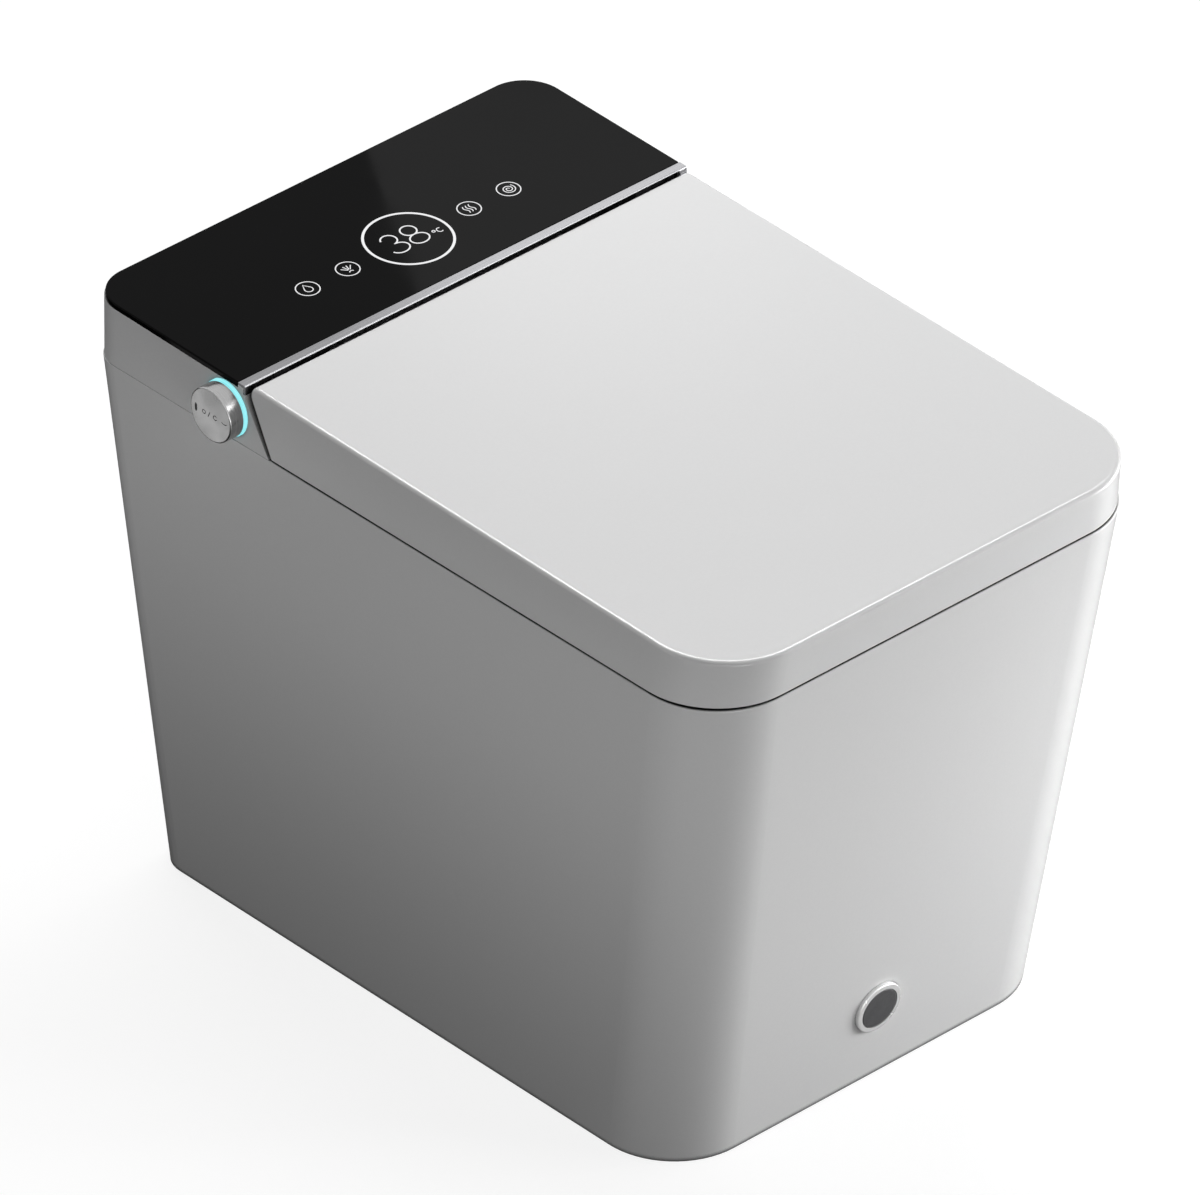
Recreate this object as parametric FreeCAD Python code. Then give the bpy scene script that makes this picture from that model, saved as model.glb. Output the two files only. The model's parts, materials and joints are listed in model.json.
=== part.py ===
import FreeCAD, Part
import math
import os

os.makedirs("parts", exist_ok=True)
Vector = FreeCAD.Vector

# Overall form in millimetres: origin at the drain outlet on the floor, front towards -Y
drain_setback = 295.0
body_length = 616.7
rim_height = 405.0
rim_half_width = 200.8
skirt_front_radius = 59.0
skirt_rear_radius = 26.0
base_front_inset = 62.6
base_rear_inset = 36.3
base_taper = 20.8
casing_height = 50.1
top_tilt_degrees = 1.03
overrun = 20.0
touch_gap = 0.3
running_clearance = 0.05

# Ceramic walls, bowl and trapway
skirt_wall = 11.0
deck_thickness = 14.0
rim_edge_radius = 1.2
bowl_half_width = 140.0
bowl_front_margin = 46.7
bowl_rear_margin = 235.0
bowl_wall = 11.0
bowl_depth = 225.0
sump_stretch_share = 1.02
sump_margin = 4.0
bowl_depth_shares = (0.0, 0.29, 0.6, 0.813, 1.0)
bowl_width_shares = (1.0, 0.9, 0.63, 0.36)
bowl_shift_shares = (0.0, 0.18, 0.58, 0.87)
trap_bore_radius = 25.0
trap_wall = 8.0
trap_bend_radius = 40.0
trap_low_height = 105.0
trap_weir_height = 170.0
chamber_side_margin = 37.8
chamber_front_y = 114.0
chamber_rear_margin = 19.0
service_half_width = 110.0
service_height = 300.0

# Drain seal under the outlet horn
seal_height = 22.0
seal_outer_radius = 48.0
seal_lip_depth = 8.0
seal_bore_radius = 27.0

# Lid and its hinge
barrel_radius = 7.0
hinge_gap = 1.2
hinge_y = 127.3
parting_degrees = 32.0
lid_base_gap = 2.0
lid_taper = 3.3
lid_front_overhang = 5.8
lid_front_radius = 60.0
lid_wall = 4.0
lid_edge_radius = 3.0
lip_end_degrees = 40.0
lid_lug_width = 6.0
lid_lug_inset = 10.0
lid_lug_radius = 5.6
liner_thickness = 3.0
liner_margin = 18.0
liner_front_radius = 45.0
liner_rear_radius = 20.0
lid_bumper_radius = 9.0
pin_radius = 2.5
eye_radius = 4.5
eye_clearance = 0.4
knuckle_width = 14.0
knuckle_side_gap = 1.0
damper_radius = 4.4
damper_length = 37.0

# Seat ring
seat_lift = 5.0
seat_thickness = 23.0
seat_side_margin = 12.8
seat_front_margin = 13.7
seat_rear_gap = 27.0
seat_rear_block = 30.0
seat_front_radius = 52.0
seat_rear_radius = 15.0
seat_hole_half_width = 108.0
seat_hole_inset = 22.5
seat_hole_front_margin = 62.0
seat_hole_flare = 10.0
seat_wall = 3.5
seat_base_thickness = 4.0
seat_edge_radius = 7.0
seat_arm_width = 12.0
seat_arm_thickness = 8.0
heater_mat_thickness = 1.2
heater_mat_margin = 4.0
seat_bumper_radius = 10.0
seat_bumper_inset = 22.0

# Rear casing, glass and trim
casing_wall = 3.0
casing_top_wall = 4.5
casing_taper = 0.8
casing_rear_radius = 28.0
glass_thickness = 4.0
glass_depth = 152.5
glass_rear_radius = 30.0
glass_front_radius = 2.0
glass_edge_radius = 1.0
trim_thickness = 2.0
trim_edge_radius = 0.9
display_board_half_width = 112.0
display_board_depth = 62.0
display_board_thickness = 1.6
display_board_setback = 12.0
display_pocket_depth = 2.2
sensor_window_width = 26.0
sensor_window_height = 10.0
sensor_window_thickness = 1.6
sensor_window_x = 62.0
sensor_level_share = 0.45

# Knob on the -X cheek
knob_radius = 20.3
knob_setback = 141.0
knob_level = 22.0
knob_reach = 14.0
knob_wall = 2.2
knob_edge_radius = 1.0
knob_press = 1.5
knob_rest_gap = 0.4
knob_shaft_radius = 4.0
knob_boss_radius = 7.5
knob_shaft_length = 36.0
knob_flange_radius = 7.0
knob_flange_thickness = 2.0
ring_outer_radius = 20.8
ring_inner_radius = 16.0
ring_seat_depth = 1.2
ring_proud = 0.8
encoder_width = 24.0
encoder_depth = 16.0
encoder_wall = 2.5
spring_wall = 0.6

# Foot button on the front wall
foot_level = 63.0
foot_disc_radius = 15.4
foot_ring_radius = 19.6
foot_ring_proud = 3.0
foot_sleeve_wall = 1.6
foot_side_clearance = 0.4
foot_stem_radius = 5.0
foot_disc_thickness = 4.5
foot_housing_radius = 21.0
foot_housing_depth = 24.0
foot_housing_wall = 2.5
foot_edge_radius = 1.0

# Works tray
tray_wall = 3.0
tray_depth = 75.0
tray_flange_thickness = 3.5
tray_flange_side_margin = 14.8
tray_flange_rear_margin = 9.0
tray_side_gap = 3.0
tray_corner_radius = 14.0

# Wash unit
notch_half_width = 54.0
notch_depth = 49.0
notch_gap = 1.5
wand_x = -14.0
wand_radius = 7.0
wand_length = 150.0
wand_degrees = 20.0
wand_exit_depth = 35.0
wand_exit_inset = 2.0
wand_bore_radius = 3.5
sleeve_radius = 11.0
sleeve_length = 128.0
housing_front_margin = 4.0
tip_length = 18.0
tip_socket_depth = 8.0
spray_hole_radius = 0.7
spray_hole_pitch = 3.2
nozzle_motor_radius = 12.0
nozzle_motor_length = 18.0
dryer_port_x = 36.0
dryer_port_width = 22.0
dryer_port_height = 20.0

# Works standing in the tray: widths along X, depths along Y
works_gap = 5.0
heater_width = 92.0
heater_depth = 58.0
heater_height = 70.0
heater_edge_radius = 6.0
heater_port_radius = 5.0
heater_port_length = 10.0
port_shares = (0.2, 0.8)
pump_radius = 22.0
pump_length = 62.0
pump_head_length = 20.0
pump_head_radius = 26.0
pump_side_gap = 20.0
pump_rear_gap = 6.0
pump_foot_width = 30.0
valve_width = 32.0
valve_depth = 36.0
valve_height = 40.0
valve_side_gap = 2.0
valve_front_gap = 8.0
valve_coil_radius = 11.0
valve_coil_height = 26.0
inlet_radius = 10.4
inlet_bore_radius = 7.0
inlet_length = 18.0
inlet_collar_radius = 13.0
inlet_collar_drop = 3.0
filter_radius = 11.0
filter_length = 32.0
filter_rib_height = 1.5
filter_ribs = 4
diverter_radius = 13.0
diverter_height = 26.0
diverter_side_gap = 0.5
diverter_front_gap = 30.0
diverter_ports = 4
diverter_port_radius = 3.0
diverter_port_length = 6.0
diverter_motor_radius = 10.0
diverter_motor_height = 18.0
air_pump_width = 44.0
air_pump_depth = 62.0
air_pump_height = 40.0
air_pump_front_gap = 6.0
air_pump_dome_radius = 15.0
air_pump_dome_height = 8.0
deodoriser_width = 40.0
deodoriser_depth = 44.0
deodoriser_height = 38.0
deodoriser_side_gap = 8.0
deodoriser_slots = 5
deodoriser_slot_width = 3.0
deodoriser_slot_depth = 6.0
fan_radius = 32.0
fan_height = 28.0
fan_foot_height = 26.0
fan_foot_radius = 14.0
fan_wall = 2.0
fan_inlet_radius = 20.0
fan_y = 166.0
impeller_radius = 26.0
impeller_blades = 12
impeller_blade_width = 6.0
impeller_blade_thickness = 1.4
impeller_disc_thickness = 2.0
impeller_hub_radius = 9.0
impeller_shaft_radius = 2.0
impeller_gap = 2.0
blade_lean_degrees = 30.0
full_turn_degrees = 360.0
duct_reach_share = 0.6
board_width = 58.0
board_depth = 78.0
board_thickness = 1.6
board_side_gap = 6.0
board_front_gap = 4.0
board_standoff_height = 6.0
board_standoff_radius = 3.0
board_margin = 5.0
chip_width = 16.0
chip_height = 2.5
relay_width = 12.0
relay_depth = 18.0
relay_height = 14.0
chip_shares = (0.2, 0.25)
relay_shares = (0.6, 0.6)
supply_width = 92.0
supply_depth = 56.0
supply_height = 44.0
supply_fins = 8
supply_fin_height = 5.0
supply_fin_thickness = 3.0
flush_width = 56.0
flush_depth = 60.0
flush_height = 46.0
flush_rear_y = 245.0
jet_x = -70.0
jet_depth = 115.0
jet_radius = 12.0
jet_bore_radius = 9.5
gland_radius = 9.0
gland_length = 16.0
gland_bore_radius = 4.0
gland_x = 106.0
gland_y = 187.0
gland_nut_radius = 12.0
gland_nut_height = 6.0

# Levels and places worked out from the driving sizes
rear_y = drain_setback
rim_front_y = rear_y - body_length
base_front_y = rim_front_y + base_front_inset
base_rear_y = rear_y - base_rear_inset
top_height = rim_height + casing_height
tilt = math.radians(top_tilt_degrees)
parting = math.radians(parting_degrees)
base_half_width = rim_half_width - base_taper
casing_top_half_width = rim_half_width - casing_taper
lid_top_half_width = rim_half_width - lid_taper
chamber_half_width = rim_half_width - chamber_side_margin
tray_half_width = chamber_half_width - tray_side_gap
tray_flange_half_width = rim_half_width - tray_flange_side_margin
bowl_length = body_length - bowl_front_margin - bowl_rear_margin
bowl_centre_y = rim_front_y + bowl_front_margin + bowl_length / 2
bowl_rear_y = bowl_centre_y + bowl_length / 2
sump_y = -4 * trap_bend_radius
sump_height = rim_height - bowl_depth
deck_base = rim_height - deck_thickness
trap_outer_radius = trap_bore_radius + trap_wall
glass_front_y = rear_y - glass_depth
lid_base = rim_height + lid_base_gap
seat_base = rim_height + seat_lift
seat_top = seat_base + seat_thickness
tray_floor = rim_height - tray_depth
tray_inside = tray_floor + tray_wall
tray_front_y = chamber_front_y + tray_side_gap
tray_rear_y = rear_y - chamber_rear_margin - tray_side_gap
chamber_rear_y = rear_y - chamber_rear_margin
knob_y = rear_y - knob_setback
knob_z = rim_height + knob_level
groove_radius = eye_radius + eye_clearance
wand_tilt = math.radians(wand_degrees)
wand_exit_z = rim_height - wand_exit_depth
horn_end = seal_height - seal_lip_depth
jet_z = rim_height - jet_depth
foot_hole_radius = foot_disc_radius + 2 * foot_side_clearance + foot_sleeve_wall
seat_half_width = rim_half_width - seat_side_margin
seat_front_y = rim_front_y + seat_front_margin
seat_rear_y = hinge_y - seat_rear_gap
seat_hollow_rear_y = seat_rear_y - seat_rear_block
seat_hole_length = bowl_length - 2 * seat_hole_inset
seat_hole_y = seat_front_y + seat_hole_front_margin + seat_hole_length / 2
ring_seat_x = -(casing_top_half_width - ring_seat_depth)
knob_base_gap = ring_proud + knob_press + knob_rest_gap
foot_disc_proud = foot_ring_proud
knob_base_x = -(rim_half_width + knob_base_gap)
knob_shaft_x = -(rim_half_width + knob_reach - knob_wall - touch_gap)
encoder_front_x = -(casing_top_half_width - casing_wall)
housing_front_y = bowl_rear_y - housing_front_margin
wand_exit_y = housing_front_y + wand_exit_inset
fan_x = dryer_port_x - dryer_port_width / 2 + fan_radius
dryer_port_z = tray_inside + fan_foot_height + (fan_height - dryer_port_height) / 2
inside_half_width = tray_half_width - tray_wall
inside_front_y = tray_front_y + tray_wall
inside_rear_y = tray_rear_y - tray_wall
heater_size = Vector(heater_width, heater_depth, heater_height)
heater_place = Vector(works_gap - inside_half_width, inside_rear_y - works_gap - heater_depth, 0)
pump_x = heater_place.x + heater_width + pump_side_gap
pump_y = inside_rear_y - pump_head_radius - pump_rear_gap
valve_size = Vector(valve_width, valve_depth, valve_height)
valve_place = Vector(inside_half_width - valve_side_gap - valve_width, inside_front_y + valve_front_gap, 0)
diverter_x = valve_place.x - diverter_radius - diverter_port_length - diverter_side_gap
diverter_y = inside_front_y + diverter_front_gap
air_pump_size = Vector(air_pump_width, air_pump_depth, air_pump_height)
air_pump_place = Vector(heater_place.x, inside_front_y + air_pump_front_gap, 0)
deodoriser_size = Vector(deodoriser_width, deodoriser_depth, deodoriser_height)
deodoriser_place = Vector(air_pump_place.x + air_pump_width + deodoriser_side_gap, air_pump_place.y, 0)
board_size = Vector(board_width, board_depth, board_thickness)
board_x = deodoriser_place.x + deodoriser_width + board_side_gap
board_place = Vector(board_x, inside_front_y + board_front_gap, 0)
chip_size = Vector(chip_width, chip_width, chip_height)
relay_size = Vector(relay_width, relay_depth, relay_height)
supply_size = Vector(supply_width, supply_depth, supply_height)
supply_place = Vector(inside_half_width - works_gap - supply_width, heater_place.y, 0)
inlet_x = valve_place.x + valve_size.x / 2
inlet_y = valve_place.y + valve_size.y / 2


def top_level(y):
    """Height of the sloping top plane, shared by glass and lid, at a depth y."""
    return top_height - math.tan(tilt) * (rear_y - y)


hinge_z = top_level(hinge_y) - barrel_radius / math.cos(tilt)
casing_front_radius = barrel_radius + hinge_gap
trim_front_y = hinge_y + casing_front_radius
lid_front_top = top_level(rim_front_y)


def polar(radius, angle):
    """Point at a radius and angle round the hinge axis, angle from +Y towards +Z."""
    return Vector(0, hinge_y + radius * math.cos(angle), hinge_z + radius * math.sin(angle))


def parting_y(distance, z):
    """Depth, at a height z, of the sloping parting line that passes the hinge at a distance."""
    start = polar(distance, -parting)
    return start.y - (start.z - z) * math.tan(parting)


def rounded_outline(half_width, front_y, rear_y, front_radius, rear_radius, z):
    """Closed level outline, straight sides and round corners, symmetric about X = 0."""
    corners = (
        (half_width, front_y, front_radius, -math.pi / 2),
        (half_width, rear_y, rear_radius, 0.0),
        (-half_width, rear_y, rear_radius, math.pi / 2),
        (-half_width, front_y, front_radius, math.pi),
    )
    arcs = []
    for x, y, radius, angle in corners:
        centre_x = x - math.copysign(radius, x)
        centre_y = y - radius if y == rear_y else y + radius
        points = []
        for step in (0, 1, 2):
            turn = angle + step * math.pi / 4
            points.append(Vector(centre_x + radius * math.cos(turn), centre_y + radius * math.sin(turn), z))
        arcs.append(points)
    edges = []
    for index, points in enumerate(arcs):
        edges.append(Part.Arc(*points).toShape())
        following = arcs[(index + 1) % len(arcs)]
        edges.append(Part.makeLine(points[2], following[0]))
    return Part.Wire(edges)


def tapered(low, high, front_radius, rear_radius):
    """Block with flat leaning sides and round corners; each level is half width, front, rear, height."""
    low_half, low_front, low_back, low_z = low
    high_half, high_front, high_back, high_z = high
    low_corner = (-low_half, low_z, -low_back, -high_back, -high_half)
    high_corner = (low_half, high_z, -low_front, -high_front, high_half)
    wedge = Part.makeWedge(*low_corner, *high_corner)
    wedge.rotate(Vector(0, 0, 0), Vector(1, 0, 0), 90)
    middle_y = (low_front + low_back) / 2
    rise = (high_z - low_z) / 2
    wedge = rounded(wedge, front_radius, lambda edge: is_front_corner(edge, rise, middle_y))
    return rounded(wedge, rear_radius, lambda edge: is_rear_corner(edge, rise, middle_y))


def is_front_corner(edge, rise, middle_y):
    """True for a leaning corner edge before the middle."""
    return edge.BoundBox.ZLength > rise and edge.BoundBox.YMax < middle_y


def is_rear_corner(edge, rise, middle_y):
    """True for a leaning corner edge behind the middle."""
    return edge.BoundBox.ZLength > rise and edge.BoundBox.YMin > middle_y


def slab(half_width, front_y, rear_y, front_radius, rear_radius, low, high):
    """Upright solid on a rounded outline."""
    outline = rounded_outline(half_width, front_y, rear_y, front_radius, rear_radius, low)
    return Part.Face(outline).extrude(Vector(0, 0, high - low))


def ellipse(half_x, half_y, y, z):
    """Level ellipse that is longer along Y."""
    curve = Part.Ellipse(Vector(0, y + half_y, z), Vector(half_x, y, z), Vector(0, y, z))
    return Part.Wire([curve.toShape()])


def block(low_x, high_x, low_y, high_y, low_z, high_z):
    """Square-edged block between two corners."""
    return Part.makeBox(high_x - low_x, high_y - low_y, high_z - low_z, Vector(low_x, low_y, low_z))


def across(edges, half_width):
    """Solid of a closed side outline drawn at X = 0, extruded evenly to both sides."""
    face = Part.Face(Part.Wire(edges))
    face.translate(Vector(-half_width, 0, 0))
    return face.extrude(Vector(2 * half_width, 0, 0))


def between(edges, low_x, high_x):
    """Solid of a closed side outline drawn at X = 0, from one X to another."""
    face = Part.Face(Part.Wire(edges))
    face.translate(Vector(low_x, 0, 0))
    return face.extrude(Vector(high_x - low_x, 0, 0))


def chain(points):
    """Straight edges through the points and back to the first."""
    edges = []
    for index, point in enumerate(points):
        edges.append(Part.makeLine(point, points[(index + 1) % len(points)]))
    return edges


def path(points):
    """Straight edges through the points, left open."""
    return [Part.makeLine(start, end) for start, end in zip(points, points[1:])]


def upright(radius, height, x, y, z):
    """Vertical cylinder on a foot point."""
    return Part.makeCylinder(radius, height, Vector(x, y, z))


def lying(radius, low_x, high_x, y, z):
    """Cylinder along X."""
    return Part.makeCylinder(radius, high_x - low_x, Vector(low_x, y, z), Vector(1, 0, 0))


def aimed(shape, origin, direction):
    """Shape drawn along +Z from the origin, moved to a point and turned to a direction."""
    turn = FreeCAD.Placement(origin, FreeCAD.Rotation(Vector(0, 0, 1), direction))
    shape.Placement = turn.multiply(shape.Placement)
    return shape


def rounded(shape, radius, chosen):
    """Fillet on the edges that a rule picks."""
    return shape.makeFillet(radius, [edge for edge in shape.Edges if chosen(edge)])


def coned_ring(wide, narrow, wall, height):
    """Hollow ring that narrows upwards by a cone, standing on Z = 0."""
    outer = Part.makeCone(wide + wall, narrow + wall, height)
    return outer.cut(Part.makeCone(wide, narrow, height))


# Ceramic body
def skirt_section(inset, z):
    """Half width, front, rear and height of the leaning skirt, drawn in all round by an inset."""
    share = z / rim_height
    half_width = base_half_width + (rim_half_width - base_half_width) * share - inset
    front_y = base_front_y + (rim_front_y - base_front_y) * share + inset
    back_y = base_rear_y + (rear_y - base_rear_y) * share - inset
    return half_width, front_y, back_y, z


def skirt(inset, low, high):
    """Tapered skirt form with round corners, drawn in all round by an inset."""
    sections = skirt_section(inset, low), skirt_section(inset, high)
    return tapered(*sections, skirt_front_radius - inset, skirt_rear_radius - inset)


def bowl_form(extra):
    """Bowl from the rim oval down to the round sump, grown by an extra on every side."""
    sections = []
    for depth, width, shift in zip(bowl_depth_shares, bowl_width_shares, bowl_shift_shares):
        y = bowl_centre_y + (sump_y - bowl_centre_y) * shift
        half_x = bowl_half_width * width + extra
        half_y = bowl_length / 2 * width + extra
        sections.append(ellipse(half_x, half_y, y, rim_height - bowl_depth * depth))
    sump_radius = trap_bore_radius + sump_margin + extra
    sections.append(ellipse(sump_radius, sump_radius * sump_stretch_share, sump_y, sump_height))
    return Part.makeLoft(sections, True, False)


def trapway(radius, start):
    """Round way from the sump down, up over the weir and down to the outlet horn."""
    rise_y = sump_y + 2 * trap_bend_radius
    dip = trap_bend(radius, sump_y + trap_bend_radius, trap_low_height, Vector(-1, 0, 0))
    crown = trap_bend(radius, rise_y + trap_bend_radius, trap_weir_height, Vector(1, 0, 0))
    inlet = upright(radius, start - trap_low_height, 0, sump_y, trap_low_height)
    rise = upright(radius, trap_weir_height - trap_low_height, 0, rise_y, trap_low_height)
    fall = upright(radius, trap_weir_height - horn_end, 0, 0, horn_end)
    return inlet.fuse([dip, rise, crown, fall]).removeSplitter()


def trap_bend(radius, y, z, axis):
    """Half ring of the trapway: above its centre for an axis to the right, below it for one to the left."""
    half_turn = full_turn_degrees / 2
    middle = Vector(0, 0, 0)
    upward = Vector(0, 0, 1)
    bend = Part.makeTorus(trap_bend_radius, radius, middle, upward, -half_turn, half_turn, half_turn)
    turn = FreeCAD.Rotation(Vector(0, 1, 0), Vector(0, 0, 1), axis, "ZXY")
    bend.Placement = FreeCAD.Placement(Vector(0, y, z), turn)
    return bend


def jet_cylinder(radius, front_y, back_y):
    return Part.makeCylinder(radius, back_y - front_y, Vector(jet_x, front_y, jet_z), Vector(0, 1, 0))


def front_wall_point():
    """Centre of the foot button on the leaning front wall, and the wall's outward direction."""
    y = base_front_y + (rim_front_y - base_front_y) * foot_level / rim_height
    return Vector(0, y, foot_level), Vector(0, -rim_height, -base_front_inset).normalize()


def on_front_wall(shape):
    point, outward = front_wall_point()
    return aimed(shape, point, outward)


def ceramic_body():
    """Skirt casting: the outer wall of the fired body, open above, underneath and at the rear."""
    body = skirt(0, 0, rim_height)
    body = rounded(body, rim_edge_radius, lambda edge: edge.BoundBox.ZMin > rim_height - touch_gap)
    body = body.cut(skirt(skirt_wall, -overrun, rim_height + overrun))
    behind_y = chamber_rear_y - 2 * overrun
    service = block(-service_half_width, service_half_width, behind_y, rear_y, -overrun, service_height)
    foot_hole = on_front_wall(Part.makeCylinder(foot_hole_radius, 2 * overrun, Vector(0, 0, -overrun)))
    return body.cut([service, foot_hole]).removeSplitter()


def ceramic_rim():
    """Rim and deck casting, stuck inside the top of the skirt before firing."""
    rim = skirt(skirt_wall, deck_base, rim_height)
    low = deck_base - overrun
    high = rim_height + overrun
    chamber = block(-chamber_half_width, chamber_half_width, chamber_front_y, chamber_rear_y, low, high)
    return rim.cut([bowl_form(0), chamber, wash_notch()]).removeSplitter()


def wash_notch():
    """Gap in the rear of the rim where the wash unit looks into the bowl."""
    low = rim_height - notch_depth
    high = rim_height + overrun
    return block(-notch_half_width, notch_half_width, bowl_rear_y - overrun, tray_front_y, low, high)


def ceramic_bowl():
    """Bowl casting, stuck under the rim before firing."""
    below = block(-rim_half_width, rim_half_width, rim_front_y, rear_y, 0, deck_base)
    bowl = bowl_form(bowl_wall).cut(bowl_form(0)).common(below)
    socket = jet_cylinder(jet_radius + running_clearance, bowl_centre_y, tray_front_y)
    port = jet_cylinder(jet_bore_radius, bowl_centre_y, bowl_rear_y)
    return bowl.cut([wash_notch(), socket.cut(bowl_form(bowl_wall / 2)), port]).removeSplitter()


def ceramic_trap():
    """Trapway casting, stuck under the sump before firing and cut clear of the bowl's wall."""
    tube = trapway(trap_outer_radius, sump_height).cut(bowl_form(bowl_wall + touch_gap))
    return tube.cut(trapway(trap_bore_radius, sump_height + touch_gap)).removeSplitter()


def drain_seal():
    ring = upright(seal_outer_radius, seal_height, 0, 0, 0)
    bore = upright(seal_bore_radius, seal_height, 0, 0, 0)
    seat = upright(trap_outer_radius + touch_gap, seal_height, 0, 0, horn_end)
    return ring.cut([bore, seat])


# Lid
def lid_sides(inset):
    """Side form of the lid: flares from its top to its base, drawn in by an inset."""
    sections = []
    for z in (lid_base - overrun, top_height + overrun):
        share = (z - lid_base) / (lid_front_top - lid_base)
        half_width = rim_half_width + (lid_top_half_width - rim_half_width) * share - inset
        front_y = rim_front_y - lid_front_overhang * share + inset
        sections.append((half_width, front_y, rear_y, z))
    return tapered(*sections, lid_front_radius - inset, lid_edge_radius)


def lid_side_outline(drop):
    """Side outline of the lid: top plane, round rear edge about the hinge, sloping parting line."""
    front_y = rim_front_y - overrun
    radius = barrel_radius - drop
    top_end = polar(radius, math.pi / 2 + tilt)
    round_end = polar(radius, -parting)
    foot = Vector(0, parting_y(radius, lid_base), lid_base)
    top_front = Vector(0, front_y, top_level(front_y) - drop)
    edges = path([round_end, foot, Vector(0, front_y, lid_base), top_front, top_end])
    edges.append(Part.Arc(top_end, polar(radius, (math.pi / 2 - parting) / 2), round_end).toShape())
    return edges


def lid_cavity():
    """Space under the lid's skin: leaves the round rear lip and opens the rear below it."""
    front_y = rim_front_y - overrun
    lip = math.radians(lip_end_degrees)
    start_angle = math.pi - math.asin((barrel_radius - lid_wall) / groove_radius)
    groove_start = polar(groove_radius, start_angle)
    groove_end = polar(groove_radius, lip)
    lip_out = polar(barrel_radius + overrun, lip)
    low = lid_base - overrun
    roof_front = Vector(0, front_y, groove_start.z - (groove_start.y - front_y) * math.tan(tilt))
    low_rear = Vector(0, lip_out.y, low)
    low_front = Vector(0, front_y, low)
    edges = path([groove_end, lip_out, low_rear, low_front, roof_front, groove_start])
    edges.append(Part.Arc(groove_start, polar(groove_radius, math.pi / 2), groove_end).toShape())
    return across(edges, rim_half_width + overrun).common(lid_sides(lid_wall))


def lid_lug_span(side):
    """Inner and outer X of a lid hinge lug."""
    outer = rim_half_width - lid_lug_inset
    ends = (side * outer, side * (outer - lid_lug_width))
    return min(ends), max(ends)


def lid_shell():
    shell = across(lid_side_outline(0), rim_half_width + overrun).common(lid_sides(0))
    shell = rounded(shell, lid_edge_radius, on_lid_top)
    shell = shell.cut(lid_cavity())
    for side in (-1, 1):
        low_x, high_x = lid_lug_span(side)
        shell = shell.fuse(lying(lid_lug_radius, low_x, high_x, hinge_y, hinge_z))
        shell = shell.cut(lying(pin_radius + running_clearance, low_x, high_x, hinge_y, hinge_z))
    return shell.removeSplitter()


def on_lid_top(edge):
    """True for the lid's top rim, where the sides and front meet the top plane."""
    centre = edge.CenterOfMass
    level = abs(centre.z - top_level(centre.y)) < touch_gap
    return level and centre.y < hinge_y - barrel_radius


def liner_level(y):
    """Underside of the lid's top skin."""
    return top_level(y) - lid_wall / math.cos(tilt)


def lid_liner():
    half_width = lid_top_half_width - lid_wall - liner_margin
    front_y = rim_front_y + lid_wall + liner_margin
    back_y = seat_rear_y - liner_margin
    plan = slab(half_width, front_y, back_y, liner_front_radius, liner_rear_radius, rim_height, top_height)
    top = [Vector(0, y, liner_level(y)) for y in (front_y - overrun, back_y + overrun)]
    low = [Vector(0, point.y, point.z - liner_thickness) for point in reversed(top)]
    return plan.common(across(chain(top + low), rim_half_width))


def lid_bumpers():
    pads = []
    for y in (seat_front_y + seat_front_radius, seat_rear_y - 2 * liner_margin - seat_front_radius):
        low = seat_top + touch_gap
        height = liner_level(y) - liner_thickness - low
        for side in (-1, 1):
            x = side * (seat_half_width + seat_hole_half_width) / 2
            pads.append(upright(lid_bumper_radius, height - touch_gap, x, y, low))
    return Part.makeCompound(pads)


# Seat
def seat_hole(low, high, low_extra, high_extra):
    """Flared oval hole of the seat ring."""
    sections = []
    for z, extra in ((low, low_extra), (high, high_extra)):
        half_y = seat_hole_length / 2 + extra
        sections.append(ellipse(seat_hole_half_width + extra, half_y, seat_hole_y, z))
    return Part.makeLoft(sections, True, True)


def seat_arm(low_x, high_x):
    """Hinge arm from the seat's rear edge up to its eye."""
    root = Vector(0, seat_rear_y - seat_front_margin, (seat_base + seat_top) / 2)
    eye = Vector(0, hinge_y, hinge_z)
    along = (root - eye).normalize()
    beside = Vector(0, -along.z, along.y) * (seat_arm_thickness / 2)
    arm = between(chain([eye + beside, root + beside, root - beside, eye - beside]), low_x, high_x)
    return arm.fuse(lying(eye_radius, low_x, high_x, hinge_y, hinge_z))


def seat_arm_span(side):
    """Inner and outer X of a seat hinge arm, beside the lid lug."""
    outer = rim_half_width - lid_lug_inset - lid_lug_width - knuckle_side_gap
    ends = (side * outer, side * (outer - seat_arm_width))
    return min(ends), max(ends)


def seat_slab(low, high):
    """Seat outline, filled in, between two heights."""
    return slab(seat_half_width, seat_front_y, seat_rear_y, seat_front_radius, seat_rear_radius, low, high)


def seat_cover():
    high_base = seat_base + seat_base_thickness
    cover = seat_slab(high_base, seat_top)
    cover = cover.cut(seat_hole(high_base, seat_top, 0, seat_hole_flare))
    cover = rounded(cover, seat_edge_radius, lambda edge: edge.BoundBox.ZMin > seat_top - touch_gap)
    inner_radius = seat_front_radius - seat_wall
    hollow = slab(
        seat_half_width - seat_edge_radius, seat_front_y + seat_edge_radius, seat_hollow_rear_y,
        inner_radius, seat_rear_radius, high_base, seat_top - seat_wall)
    rim = seat_edge_radius + seat_wall
    hollow = hollow.cut(seat_hole(high_base, seat_top, rim, rim + seat_hole_flare))
    cover = cover.cut(hollow)
    for side in (-1, 1):
        low_x, high_x = seat_arm_span(side)
        cover = cover.fuse(seat_arm(low_x, high_x))
        cover = cover.cut(lying(pin_radius + running_clearance, low_x, high_x, hinge_y, hinge_z))
    return cover.removeSplitter()


def seat_plate():
    high = seat_base + seat_base_thickness
    plate = seat_slab(seat_base, high)
    return plate.cut(seat_hole(seat_base, high, 0, 0))


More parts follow.
